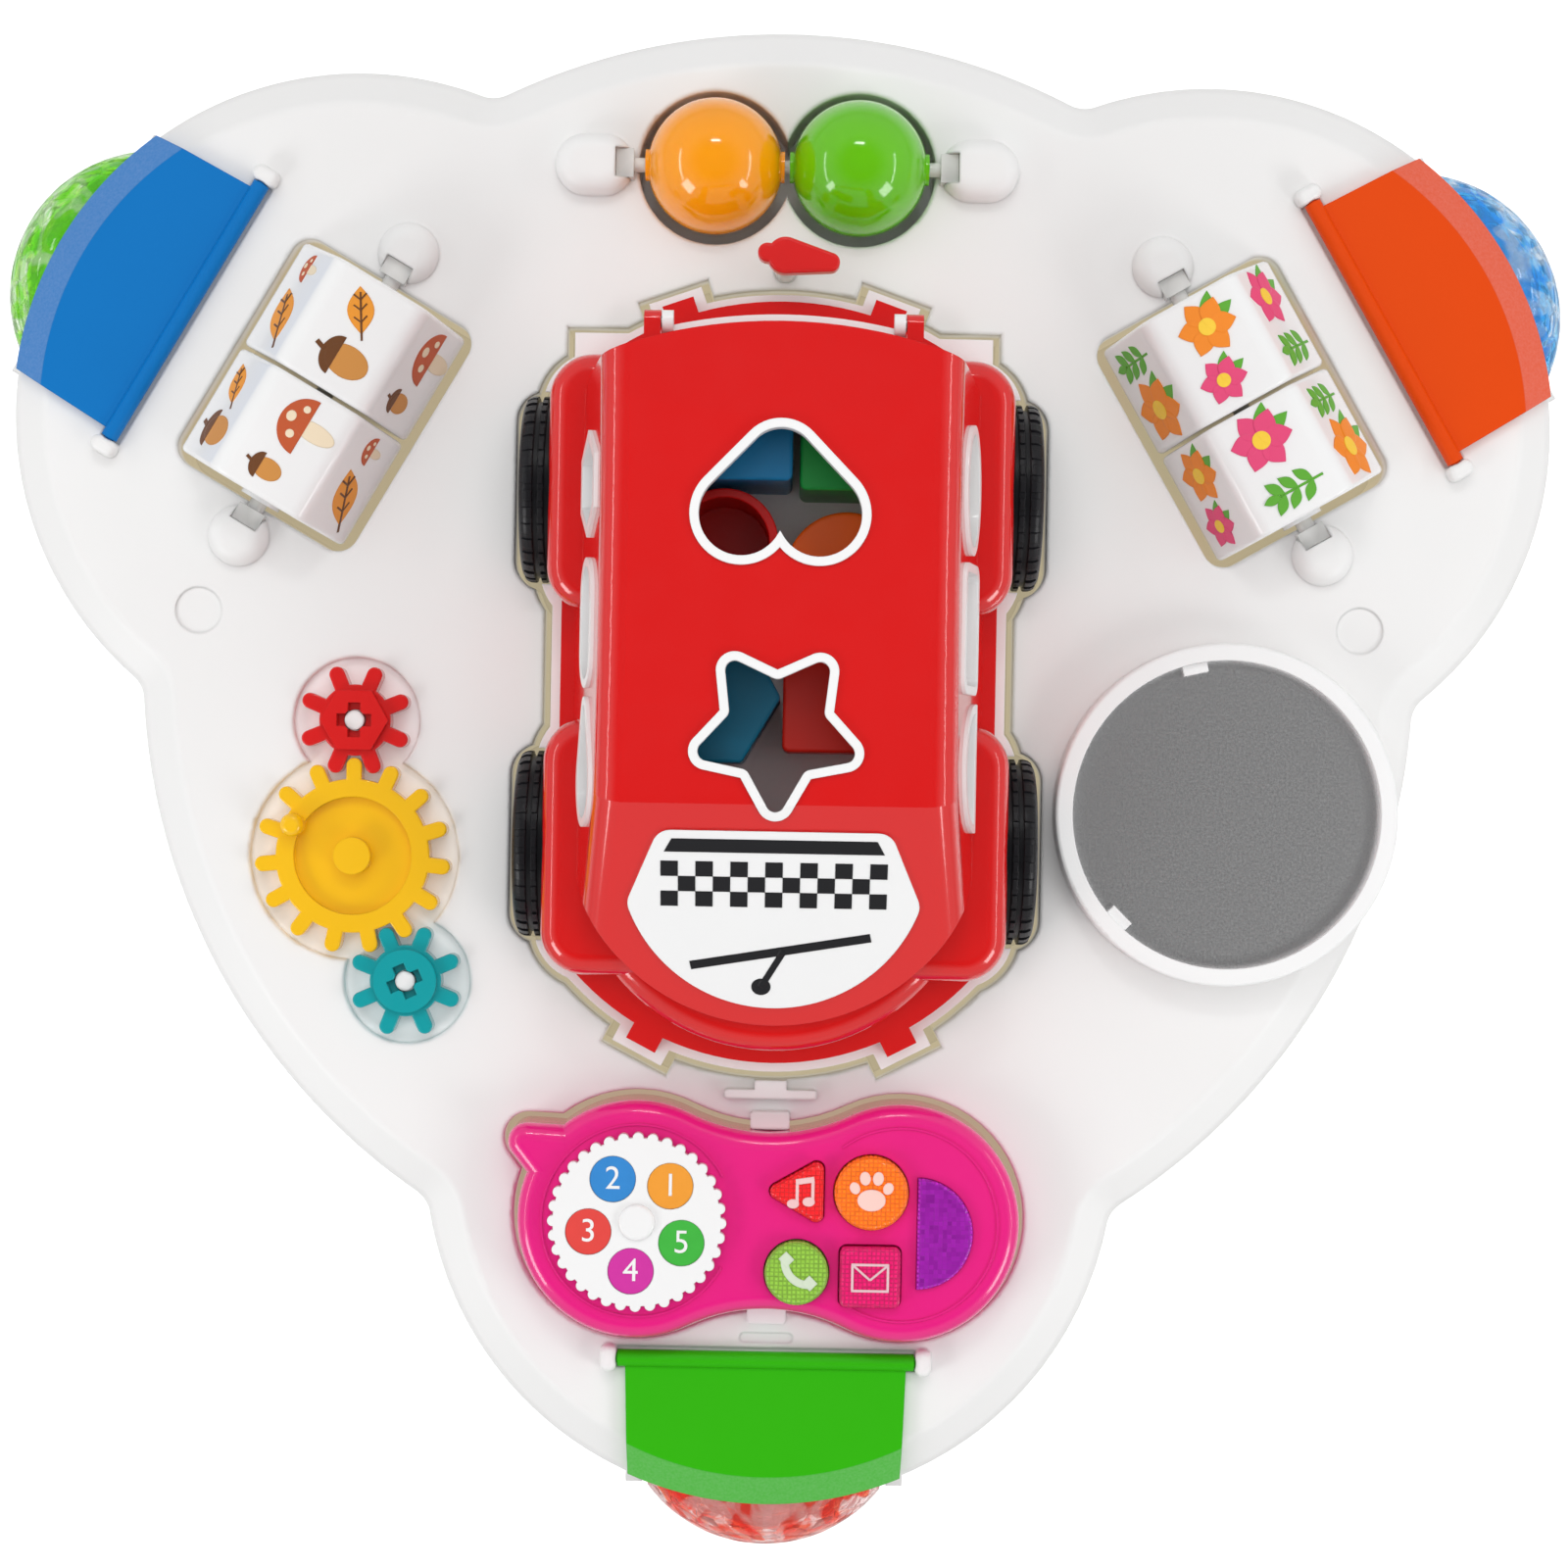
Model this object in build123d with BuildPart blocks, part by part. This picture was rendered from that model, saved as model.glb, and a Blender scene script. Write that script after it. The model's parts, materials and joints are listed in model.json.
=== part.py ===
from build123d import *
import math
import os

# Toddler activity table with a lift-off car, a lift-off phone, gears, rollers, balls and a mirror.
# Millimetres, +Z up. The origin is on the floor under the middle of the footprint. The phone is at the
# front, towards -Y. The places of the toys are measured from the middle of the round table body and
# from its flat top.

os.makedirs("parts", exist_ok=True)

# Shared clearances, walls and roundings
overrun = 2.0
running_gap = 0.3
seat_gap = 0.1
wall = 2.5
edge_round = 1.0
soft_round = 2.0

# Table
table_height = 330.0
table_depth = 46.0
body_radius = 180.0
lobe_radius = 97.5
lobe_distance = 138.5
lobe_angles = {"green": 270.0, "orange": 30.0, "blue": 150.0}
notch_round = 9.0
bevel_width = 10.0
bevel_drop = 6.0
bevel_round = 4.0
base_thickness = 2.5

# Corner stations: flap, hinge and barrel roller
hinge_distance = 194.0
hinge_rise = 2.4
hinge_rod_radius = 2.4
hinge_rod_length = 83.0
hinge_pin_radius = 1.5
hinge_pin_length = 2.6
hinge_boss_width = 4.6
hinge_boss_depth = 7.4
hinge_boss_height = 5.2
hinge_boss_round = 1.6
hinge_groove_depth = 1.0
flap_root_width = 78.8
flap_tip_width = 76.0
flap_thickness = 2.5
flap_setback = 0.5
corner_roller_radius = 22.0
corner_roller_crown = 43.0
corner_roller_half_length = 33.5
corner_roller_distance = 230.0
corner_roller_drop = 27.5
corner_roller_wall = 2.0
corner_axle_radius = 2.5
pocket_half_width = 35.3
pocket_back = 198.5

# Legs and feet
leg_distance = 163.0
leg_splay = 34.0
leg_collar_radius = 23.0
leg_collar_length = 12.0
leg_top_radius = 26.0
leg_foot_radius = 17.0
leg_wall = 3.0
foot_radius = 20.5
foot_height = 12.0
foot_sole = 4.0
foot_bulge = 3.0

# Screws
screw_radius = 1.5
screw_head_radius = 3.0
screw_head_height = 1.6
screw_length = 12.0
boss_radius = 4.2
rim_screw_distance = 167.0
rim_screw_angles = (90.0, 210.0, 330.0)
lobe_screw_x = 50.0
lobe_screw_y = 200.0

# Picture barrels
picture_distance = 149.0
picture_sides = 6
picture_radius = 27.0
picture_edge_round = 6.0
picture_end_round = 1.5
picture_length = 33.4
picture_gap = 1.0
picture_turn = 6.0
picture_well_length = 73.0
picture_well_width = 57.6
picture_well_depth = 29.0
picture_well_round = 6.0
picture_axle_radius = 2.5
picture_hub_radius = 6.0
picture_hub_length = 1.2
post_boss_radius = 8.5
post_boss_height = 5.6
post_boss_round = 5.0
post_boss_length = 5.0
axle_tab_length = 5.0
axle_tab_width = 8.0
axle_tab_cover = 1.2

# Spin balls
ball_radius = 19.0
ball_wall = 2.0
ball_x = 20.2
ball_y = 140.3
ball_rise = 2.0
ball_hub_radius = 4.4
ball_axle_radius = 2.0
ball_well_radius = 21.5
ball_well_depth = 20.0

# Pointer
pointer_y = 111.5
pointer_rise = 24.0
pointer_thickness = 5.0
pointer_post_radius = 3.2
pointer_pin_radius = 1.6
pointer_hub_radius = 5.0
pointer_reach = 15.0
pointer_tail = 5.0
pointer_tip_radius = 2.6
pointer_tilt = -8.0

# Gears
gear_centre_distance = 38.0
gear_big_teeth = 15
gear_small_teeth = 8
gear_big_x = -118.2
gear_big_y = -54.8
gear_red_direction = 90.0
gear_teal_direction = -66.0
gear_addendum = 2.7
gear_root_clearance = 0.5
tooth_half_width = 2.2
gear_thickness = 6.6
gear_well_depth = 3.2
gear_well_gap = 1.7
gear_post_radius = 2.7
gear_post_top = 4.6
gear_dish_radius = 16.5
gear_dish_depth = 2.6
gear_hub_radius = 5.2
crank_radius = 3.2
crank_height = 6.0
crank_distance = 18.6
crank_angle = 153.0
gear_boss_height = 2.2
hex_boss_radius = 9.6
round_boss_radius = 8.9
key_length = 9.6
key_width = 3.4
key_depth = 3.0

# Mirror
mirror_x = 125.4
mirror_y = -38.8
mirror_radius = 44.5
mirror_thickness = 2.0
mirror_rise = 6.0
bezel_radius = 47.7
bezel_lip = 1.6
bezel_height = 4.6
bezel_tab_width = 7.0
bezel_tab_reach = 3.0
bezel_tab_height = 1.2
bezel_tab_angles = (103.0, 225.0)

# Round marks
mark_radius = 6.5
mark_depth = 0.6
mark_x = 163.2
mark_y = 13.4

# Phone
phone_y = -154.0
phone_lobe_radius = 33.0
phone_lobe_x = 36.75
phone_waist = 24.5
phone_bottom = -9.7
phone_split = 2.0
phone_top = 14.0
phone_wall = 2.2
phone_top_round = 4.5
phone_bottom_round = 3.0
phone_well_depth = 10.0
phone_well_gap = 2.0
antenna_x = -67.5
antenna_y = 21.0
antenna_radius = 5.2
antenna_root_x = -42.0
antenna_root_y = 8.0
antenna_root_radius = 17.0
dial_x = -36.2
dial_radius = 23.2
dial_scallops = 36
dial_scallop_radius = 1.5
dial_thickness = 3.0
dial_lift = 0.4
dial_shaft_radius = 4.0
dial_shaft_length = 7.0
dial_hole_count = 5
dial_hole_radius = 6.4
dial_hole_distance = 13.6
dial_hole_depth = 1.0
dial_insert_thickness = 0.8
dial_first_angle = 48.0
dial_cap_radius = 5.0
dial_cap_height = 1.4
button_rise = 3.4
button_gap = 0.35
button_flange = 1.4
button_flange_top = 10.8
button_bottom = 9.2
button_round = 1.2
triangle_x = 9.6
triangle_y = 9.0
triangle_radius = 11.2
triangle_round = 2.0
orange_x = 28.4
orange_y = 9.0
orange_radius = 10.2
green_x = 8.1
green_y = -13.4
green_radius = 8.8
square_x = 28.4
square_y = -14.2
square_side = 16.8
square_round = 2.0
lens_x = 41.3
lens_y = -2.2
lens_radius = 15.4
lens_rise = 1.8
lens_flange = 1.2
board_thickness = 1.6
board_bottom = 2.6
board_x = 19.0
board_y = -2.5
board_length = 44.0
board_width = 38.0
membrane_thickness = 1.0
membrane_dome_radius = 3.2
membrane_dome_height = 1.2
speaker_x = 24.0
speaker_y = -2.0
speaker_radius = 13.0
speaker_height = 5.0
speaker_hole_radius = 1.1
speaker_hole_rings = ((6, 4.5), (11, 8.5))
cell_radius = 5.2
cell_length = 44.0
cell_tip_radius = 1.9
cell_tip_length = 1.0
cell_pitch = 10.9
door_length = 50.0
door_width = 26.0
door_round = 3.0
phone_screw_places = ((-8.0, 18.5), (-8.0, -18.5), (49.0, 20.5), (49.0, -22.5))
phone_boss_radius = 3.2
clip_width = 11.0
clip_depth = 5.0
clip_height = 4.0
slot_length = 15.0
slot_width = 2.8
slot_y = -188.2
hook_y = -118.2
hook_width = 26.0
hook_stem_width = 9.0
hook_bar = 2.6
hook_height = 3.0

# Car
car_front = -105.5
car_nose_radius = 56.4
car_half_width = 55.0
car_core_front = -66.0
car_core_back = 89.0
fender_half_width = 63.5
fender_length = 70.0
fender_corner = 12.0
bumper_front = -109.5
bumper_front_radius = 74.0
bumper_back = 100.5
bumper_back_radius = 84.0
bumper_half_width = 60.0
bumper_top = 17.0
overrider_front_x = 34.0
overrider_back_x = 28.0
overrider_length = 10.0
overrider_width = 9.0
overrider_proud = 4.5
car_floor = 8.0
fender_top = 33.0
fender_round = 6.0
flange_width = 3.2
flange_thickness = 3.0
car_well_gap = 2.6
wheel_well_round = 6.0
car_well_depth = 24.3
rear_axle_y = 48.7
front_axle_y = -50.4
wheel_radius = 25.5
wheel_width = 15.5
wheel_outer = 72.0
wheel_rise = 1.5
wheel_round = 3.0
wheel_dish_depth = 3.0
wheel_dish_radius = 16.0
wheel_hub_radius = 6.0
tread_width = 1.4
tread_depth = 0.9
tread_shares = (0.3, 0.5, 0.7)
arch_gap = 2.0
arch_inner = 53.4
axle_radius = 2.5
lug_inner = 40.0
lug_width = 8.0
lug_length = 12.0
lug_drop = 9.0
cabin_back = 88.0
cabin_back_radius = 130.0
cabin_corner = 16.0
cabin_front = -98.0
cabin_belt = 20.0
cabin_belt_half = 56.0
roof_half = 46.0
roof_rise = 70.0
roof_back_rise = 66.0
roof_front_y = -38.0
roof_front_rise = 66.5
screen_foot_rise = 33.0
roof_edge_round = 8.0
rim_width = 2.4
rim_proud = 1.0
rim_depth = 4.0
hole_round = 2.5
heart_y = 45.5
heart_lobe_radius = 11.0
heart_lobe_x = 10.2
heart_lobe_y = -8.0
heart_tip = 5.5
heart_tip_round = 9.0
star_y = -18.5
star_points = 5
star_radius = 24.0
star_inner_share = 0.54
star_round = 2.5
window_rise = 47.0
window_height = 20.0
window_length = 30.0
window_pitch = 37.0
window_middle_y = 9.5
screen_top_y = -45.0
screen_foot_y = -93.0
screen_top_half = 30.5
screen_half = 39.0
screen_wide_y = -64.5
screen_thickness = 0.8
screen_round = 5.0
hatch_half_width = 32.0
hatch_bottom = 24.0
hatch_top = 58.0
hatch_thickness = 2.4
hatch_gap = 0.5
hatch_opening_inset = 5.0
hatch_round = 4.0
hatch_pin_radius = 1.5
hatch_ear_radius = 3.0
hatch_ear_width = 3.0
hatch_pin_length = 3.4

# Blocks
block_round = 2.0
cuboid_x = -16.0
cuboid_y = 61.5
cuboid_length = 38.0
cuboid_width = 27.0
cuboid_height = 42.0
wedge_x = 5.0
wedge_y = 46.0
wedge_width = 30.0
wedge_length = 24.0
wedge_height = 38.0
cup_x = -15.0
cup_y = 32.0
cup_radius = 14.5
cup_height = 34.0
hexagon_x = -19.5
hexagon_y = -9.5
hexagon_radius = 20.5
hexagon_height = 40.0
square_block_x = 15.5
square_block_y = -10.0
square_block_side = 28.0
square_block_height = 36.0
disc_x = 18.0
disc_y = 24.5
disc_radius = 16.5
disc_height = 30.0

# Places that follow from the sizes above
corner_reach = corner_roller_distance + corner_roller_radius
table_centre_y = (corner_reach - body_radius) / 2
gear_module = 2 * gear_centre_distance / (gear_big_teeth + gear_small_teeth)
phone_waist_arc = (phone_lobe_x**2 + phone_waist**2 - phone_lobe_radius**2) / (
    2 * (phone_lobe_radius - phone_waist))


def deck(x=0, y=0, z=0, turn=0):
    """Plane on the table top: x to the right, y to the back, z above the flat top."""
    origin = (x, table_centre_y + y, table_height + z)
    along = (math.cos(math.radians(turn)), math.sin(math.radians(turn)), 0)
    return Plane(origin, x_dir=along, z_dir=(0, 0, 1))


def corner(angle):
    """Place of a corner: its own x runs along the hinge and its own y runs out over the lobe."""
    return deck(turn=angle - 90).location


def save(shape, name, place=Location()):
    """Label a finished piece, put it in its place and write it."""
    piece = shape.moved(place)
    piece.label = name
    export_step(piece, f"parts/{name}.step")


def lying(x, y, z):
    """Plane at a place of a local frame whose normal points along +X."""
    return Plane((x, y, z), x_dir=(0, 1, 0), z_dir=(1, 0, 0))


# Outlines that more than one piece shares


def table_outline(plane, inset):
    """The round body and its three lobes, drawn in by an inset."""
    with BuildSketch(plane) as shape:
        Circle(body_radius - inset)
        for angle in lobe_angles.values():
            with PolarLocations(lobe_distance, 1, start_angle=angle):
                Circle(lobe_radius - inset)
        inner_corners = shape.vertices().sort_by_distance((0, 0, 0))[:2 * len(lobe_angles)]
        fillet(inner_corners, notch_round + inset)
    return shape.sketch


def phone_outline(plane, margin):
    """Two round ends, a waist between them and an antenna stub."""
    round_end = phone_lobe_radius + margin
    waist_arc = phone_waist_arc - margin
    middle = phone_waist + phone_waist_arc
    reach = round_end + waist_arc
    with BuildSketch(plane) as shape:
        with Locations((-phone_lobe_x, 0), (phone_lobe_x, 0)):
            Circle(round_end)
        with BuildSketch() as web:
            Rectangle(2 * phone_lobe_x * waist_arc / reach, 2 * middle * round_end / reach)
            with Locations((0, middle), (0, -middle)):
                Circle(waist_arc, mode=Mode.SUBTRACT)
        with BuildSketch() as stub:
            with Locations((antenna_x, antenna_y)):
                Circle(antenna_radius + margin)
            with Locations((antenna_root_x, antenna_root_y)):
                Circle(antenna_root_radius + margin)
            make_hull()
    return shape.sketch


def car_outline(plane, margin):
    """Seen from above: body, fenders, round nose and the bumpers, grown by a margin."""
    core_length = car_core_back - car_core_front
    core_y = (car_core_back + car_core_front) / 2
    with BuildSketch(plane) as shape:
        with Locations((0, core_y)):
            Rectangle(2 * (car_half_width + margin), core_length + 2 * margin)
        with Locations((0, car_front + car_nose_radius)):
            Circle(car_nose_radius + margin)
        with Locations((0, rear_axle_y), (0, front_axle_y)):
            RectangleRounded(2 * (fender_half_width + margin), fender_length + 2 * margin,
                             fender_corner + margin)
        add(bumper_outline(Plane.XY, margin))
    return shape.sketch


def bumper_outline(plane, margin):
    """Seen from above: the low bumpers, shallow arcs with two overriders each, grown by a margin."""
    with BuildSketch(plane) as shape:
        for tip, radius, facing, x in ((bumper_front, bumper_front_radius, -1, overrider_front_x),
                                       (bumper_back, bumper_back_radius, 1, overrider_back_x)):
            middle = tip - facing * radius
            with BuildSketch():
                with Locations((0, middle)):
                    Circle(radius + margin)
                with Locations((0, (tip + facing * margin) / 2)):
                    Rectangle(2 * (bumper_half_width + margin), facing * tip + margin, mode=Mode.INTERSECT)
            lean = math.degrees(math.asin(x / radius))
            reach = radius + overrider_proud - overrider_length / 2
            with Locations((0, middle)):
                for turn in (-lean, lean):
                    with PolarLocations(reach, 1, start_angle=facing * 90 + turn):
                        Rectangle(overrider_length + 2 * margin, overrider_width + 2 * margin)
    return shape.sketch


def wheel_outline(plane, margin):
    """Seen from above: the space that the four wheels take."""
    with BuildSketch(plane) as shape:
        with Locations((0, rear_axle_y), (0, front_axle_y)):
            RectangleRounded(2 * (wheel_outer + margin), 2 * (wheel_radius + margin),
                             wheel_well_round + margin)
    return shape.sketch


def gear_size(teeth):
    """Pitch radius of a gear of the train."""
    return gear_module * teeth / 2


def gear_place(direction):
    """Where a small gear stands beside the big one."""
    return (gear_big_x + gear_centre_distance * math.cos(math.radians(direction)),
            gear_big_y + gear_centre_distance * math.sin(math.radians(direction)))


gear_red_place = gear_place(gear_red_direction)
gear_teal_place = gear_place(gear_teal_direction)


def deck_wells(margin):
    """All wells of the table top, each grown sideways and down by a margin."""
    grown = margin
    with BuildPart() as wells:
        with BuildSketch(deck()) as car_well:
            add(car_outline(Plane.XY, flange_width + car_well_gap + grown))
            add(wheel_outline(Plane.XY, car_well_gap + grown))
        extrude(amount=-(car_well_depth + grown))
        with BuildSketch(deck(y=phone_y)):
            add(phone_outline(Plane.XY, phone_well_gap + grown))
        extrude(amount=-(phone_well_depth + grown))
        with BuildSketch(deck(y=ball_y)):
            with Locations((-ball_x, 0), (ball_x, 0)):
                Circle(ball_well_radius + grown)
        extrude(amount=-(ball_well_depth + grown))
        with BuildSketch(deck()):
            with Locations((gear_big_x, gear_big_y)):
                Circle(gear_size(gear_big_teeth) + gear_addendum + gear_well_gap + grown)
            with Locations(gear_red_place, gear_teal_place):
                Circle(gear_size(gear_small_teeth) + gear_addendum + gear_well_gap + grown)
        extrude(amount=-(gear_well_depth + grown))
        for colour in ("blue", "orange"):
            with BuildSketch(deck(turn=lobe_angles[colour] - 90)):
                with Locations((0, picture_distance)):
                    RectangleRounded(picture_well_length + 2 * grown, picture_well_width + 2 * grown,
                                     picture_well_round + grown)
            extrude(amount=-(picture_well_depth + grown))
    return wells.part


def corner_pockets(margin):
    """The pockets of the corner rollers, open to the outside, grown by a margin."""
    length = lobe_distance + lobe_radius + overrun - pocket_back + margin
    with BuildPart() as pockets:
        for angle in lobe_angles.values():
            with BuildSketch(deck(z=overrun, turn=angle - 90)):
                with Locations((0, pocket_back - margin + length / 2)):
                    Rectangle(2 * (pocket_half_width + margin), length)
            extrude(amount=-(table_depth + 2 * overrun))
    return pockets.part


def screw_places():
    """Where the screws of the base stand, as planes on the table's lower edge."""
    places = [deck(z=-table_depth, turn=angle - 90) for angle in rim_screw_angles]
    spots = [(plane, 0, rim_screw_distance) for plane in places]
    for angle in lobe_angles.values():
        plane = deck(z=-table_depth, turn=angle - 90)
        spots += [(plane, -lobe_screw_x, lobe_screw_y), (plane, lobe_screw_x, lobe_screw_y)]
    return spots


def corner_side(angle, y, z):
    """Plane through a corner's middle whose normal runs along that corner's hinge."""
    plane = deck(turn=angle - 90)
    return Plane(plane.from_local_coords((0, y, z)), x_dir=plane.y_dir, z_dir=plane.x_dir)


def axle_posts():
    """Axles that lie on the table top: plane, half span to the bosses, y, rise, bore and boss length."""
    half_picture = picture_well_length / 2 + wall / 2 + post_boss_radius
    posts = [(deck(turn=lobe_angles[colour] - 90), half_picture, picture_distance, 0,
              picture_axle_radius, 0) for colour in ("blue", "orange")]
    half_ball = ball_x + ball_well_radius + wall / 2 + post_boss_radius + post_boss_length / 2
    posts.append((deck(), half_ball, ball_y, ball_rise, ball_axle_radius, post_boss_length))
    return posts


def axle_tabs(post, margin):
    """Seats of the flat tabs near an axle's ends, beside its well, grown by a margin."""
    plane, x, y, rise, bore, width = post
    well_edge = x - width / 2 - post_boss_radius - wall / 2
    tab_x = well_edge + edge_round + 2 * seat_gap + axle_tab_length / 2
    with BuildSketch(plane) as seats:
        with Locations((-tab_x, y), (tab_x, y)):
            Rectangle(axle_tab_length + 2 * margin, axle_tab_width + 2 * margin)
    return seats.sketch


def is_bevel_edge(edge):
    """Whether an edge of the plain table form bounds the bevel of its rim."""
    box = edge.bounding_box()
    return box.size.Z < seat_gap and box.min.Z > table_height - bevel_drop - seat_gap


# Table top

with BuildPart() as post_bosses:
    for plane, x, y, rise, bore, width in axle_posts():
        with BuildSketch(plane.offset(-post_boss_height)):
            with Locations((-x, y), (x, y)):
                if width > 0:
                    SlotOverall(width + 2 * post_boss_radius, 2 * post_boss_radius)
                else:
                    Circle(post_boss_radius)
        extrude(amount=2 * post_boss_height + rise)
    crowns = post_bosses.faces().filter_by(Axis.Z).filter_by(lambda f: f.center().Z > table_height)
    fillet(crowns.edges(), post_boss_round)

boss_x = hinge_rod_length / 2 + running_gap + hinge_boss_width / 2
with BuildPart() as hinge_bosses:
    for angle in lobe_angles.values():
        with BuildSketch(deck(z=-overrun, turn=angle - 90)):
            with Locations((-boss_x, hinge_distance), (boss_x, hinge_distance)):
                RectangleRounded(hinge_boss_width, hinge_boss_depth, soft_round)
        extrude(amount=hinge_boss_height + overrun)
    crowns = hinge_bosses.faces().filter_by(Axis.Z).filter_by(lambda f: f.center().Z > table_height)
    fillet(crowns.edges(), hinge_boss_round)

with BuildPart() as tray_space:
    add(table_outline(deck(z=-table_depth - overrun), wall))
    extrude(amount=table_depth + overrun - wall)
    ceiling = tray_space.faces().sort_by(Axis.Z)[-1]
    chamfer(ceiling.edges(), length=bevel_width, length2=bevel_drop, reference=ceiling)
    add(deck_wells(wall), mode=Mode.SUBTRACT)
    add(corner_pockets(wall), mode=Mode.SUBTRACT)
    for plane, x, y in screw_places():
        with BuildSketch(plane):
            with Locations((x, y)):
                Circle(boss_radius)
        extrude(amount=table_depth, mode=Mode.SUBTRACT)

with BuildPart() as table_top:
    add(table_outline(deck(z=-table_depth), 0))
    extrude(amount=table_depth)
    flat = table_top.faces().sort_by(Axis.Z)[-1]
    chamfer(flat.edges(), length=bevel_width, length2=bevel_drop, reference=flat)
    bevel_edges = table_top.edges().filter_by(is_bevel_edge)
    fillet(bevel_edges, bevel_round)
    add(tray_space.part, mode=Mode.SUBTRACT)
    add(deck_wells(0), mode=Mode.SUBTRACT)
    flat = table_top.faces().sort_by(Axis.Z)[-1]
    fillet([edge for rim in flat.inner_wires() for edge in rim.edges()], edge_round)
    for angle in lobe_angles.values():
        with BuildSketch(corner_side(angle, corner_roller_distance, -corner_roller_drop)):
            Circle(corner_axle_radius + wall)
        extrude(amount=pocket_half_width + wall + soft_round, both=True)
    add(corner_pockets(0), mode=Mode.SUBTRACT)
    # Hinge grooves, hinge bosses and axle holes of the corner stations
    for angle in lobe_angles.values():
        with BuildSketch(deck(turn=angle - 90)):
            with Locations((0, hinge_distance)):
                Rectangle(hinge_rod_length + 2 * running_gap,
                          2 * (hinge_rod_radius + 2 * running_gap))
        extrude(amount=-hinge_groove_depth, mode=Mode.SUBTRACT)
    add(hinge_bosses.part)
    for angle in lobe_angles.values():
        with BuildSketch(corner_side(angle, hinge_distance, hinge_rise)):
            Circle(hinge_pin_radius + running_gap)
        extrude(amount=hinge_rod_length / 2 + hinge_pin_length + 2 * running_gap, both=True,
                mode=Mode.SUBTRACT)
        with BuildSketch(corner_side(angle, corner_roller_distance, -corner_roller_drop)):
            Circle(corner_axle_radius)
        extrude(amount=pocket_half_width + wall + seat_gap, both=True, mode=Mode.SUBTRACT)
    # Bosses and holes for the axles of the picture barrels and of the balls
    add(post_bosses.part)
    for plane, x, y, rise, bore, width in axle_posts():
        side = Plane(plane.from_local_coords((0, y, rise)), x_dir=plane.y_dir, z_dir=plane.x_dir)
        with BuildSketch(side):
            Circle(bore)
        extrude(amount=x + width / 2, both=True, mode=Mode.SUBTRACT)
    for post in axle_posts():
        add(axle_tabs(post, seat_gap))
        extrude(amount=2 * post_boss_height, mode=Mode.SUBTRACT)
    # Posts of the gears and of the pointer
    with BuildSketch(deck(z=-gear_well_depth)):
        with Locations((gear_big_x, gear_big_y), gear_red_place, gear_teal_place):
            Circle(gear_post_radius)
    extrude(amount=gear_well_depth + gear_post_top - gear_boss_height)
    with BuildSketch(deck(z=-gear_well_depth)):
        with Locations(gear_red_place, gear_teal_place):
            Circle(gear_post_radius)
    extrude(amount=gear_well_depth + gear_post_top)
    with BuildSketch(deck(y=pointer_y, z=-wall)):
        Circle(pointer_post_radius)
    extrude(amount=wall, mode=Mode.SUBTRACT)
    # Round seat of the mirror, on the flat top and over the bevel
    with BuildSketch(deck(mirror_x, mirror_y, -bevel_drop - wall)):
        Circle(bezel_radius)
    extrude(amount=bevel_drop + wall + mirror_rise)
    with BuildSketch(deck(mirror_x, mirror_y, -bevel_drop - wall)):
        Circle(bezel_radius - wall)
    extrude(amount=bevel_drop + mirror_rise, mode=Mode.SUBTRACT)
    # Round marks, clips beside the phone, finger slot and hook at the car's nose
    with BuildSketch(deck()):
        with Locations((-mark_x, mark_y), (mark_x, mark_y)):
            Circle(mark_radius)
        with Locations((0, slot_y)):
            SlotOverall(slot_length, slot_width)
    extrude(amount=-mark_depth, mode=Mode.SUBTRACT)
    clip_y = phone_waist + running_gap + clip_depth / 2
    with BuildSketch(deck(y=phone_y, z=-phone_well_depth)):
        with Locations((0, clip_y), (0, -clip_y)):
            RectangleRounded(clip_width, clip_depth, edge_round)
    extrude(amount=phone_well_depth + clip_height)
    with BuildSketch(deck(y=hook_y, z=-wall)):
        Rectangle(hook_stem_width, 2 * hook_bar)
        with Locations((0, -hook_bar / 2)):
            RectangleRounded(hook_width, hook_bar, edge_round)
    extrude(amount=wall + hook_height)
    # Pilot holes of the base screws
    for plane, x, y in screw_places():
        with BuildSketch(plane):
            with Locations((x, y)):
                Circle(boss_radius + overrun)
        extrude(amount=base_thickness, mode=Mode.SUBTRACT)
        with BuildSketch(plane):
            with Locations((x, y)):
                Circle(screw_radius)
        extrude(amount=screw_length + overrun, mode=Mode.SUBTRACT)
save(table_top.part, "table_top")

# Table base, its screws and the legs

with BuildPart() as table_base:
    add(table_outline(deck(z=-table_depth), wall + seat_gap))
    extrude(amount=base_thickness)
    add(corner_pockets(wall + seat_gap), mode=Mode.SUBTRACT)
    for angle in lobe_angles.values():
        with BuildSketch(deck(z=-table_depth, turn=angle - 90)):
            with Locations((0, leg_distance)):
                Circle(leg_top_radius)
                Circle(leg_collar_radius + seat_gap, mode=Mode.SUBTRACT)
        extrude(amount=-leg_collar_length)
    for plane, x, y in screw_places():
        with BuildSketch(plane):
            with Locations((x, y)):
                Circle(screw_radius + seat_gap)
        extrude(amount=base_thickness, mode=Mode.SUBTRACT)
save(table_base.part, "table_base")

with BuildPart() as table_screws:
    for plane, x, y in screw_places():
        with BuildSketch(plane):
            with Locations((x, y)):
                Circle(screw_radius)
        extrude(amount=screw_length)
        with BuildSketch(plane):
            with Locations((x, y)):
                Circle(screw_head_radius)
        extrude(amount=-screw_head_height)
save(table_screws.part, "table_screws")


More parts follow.
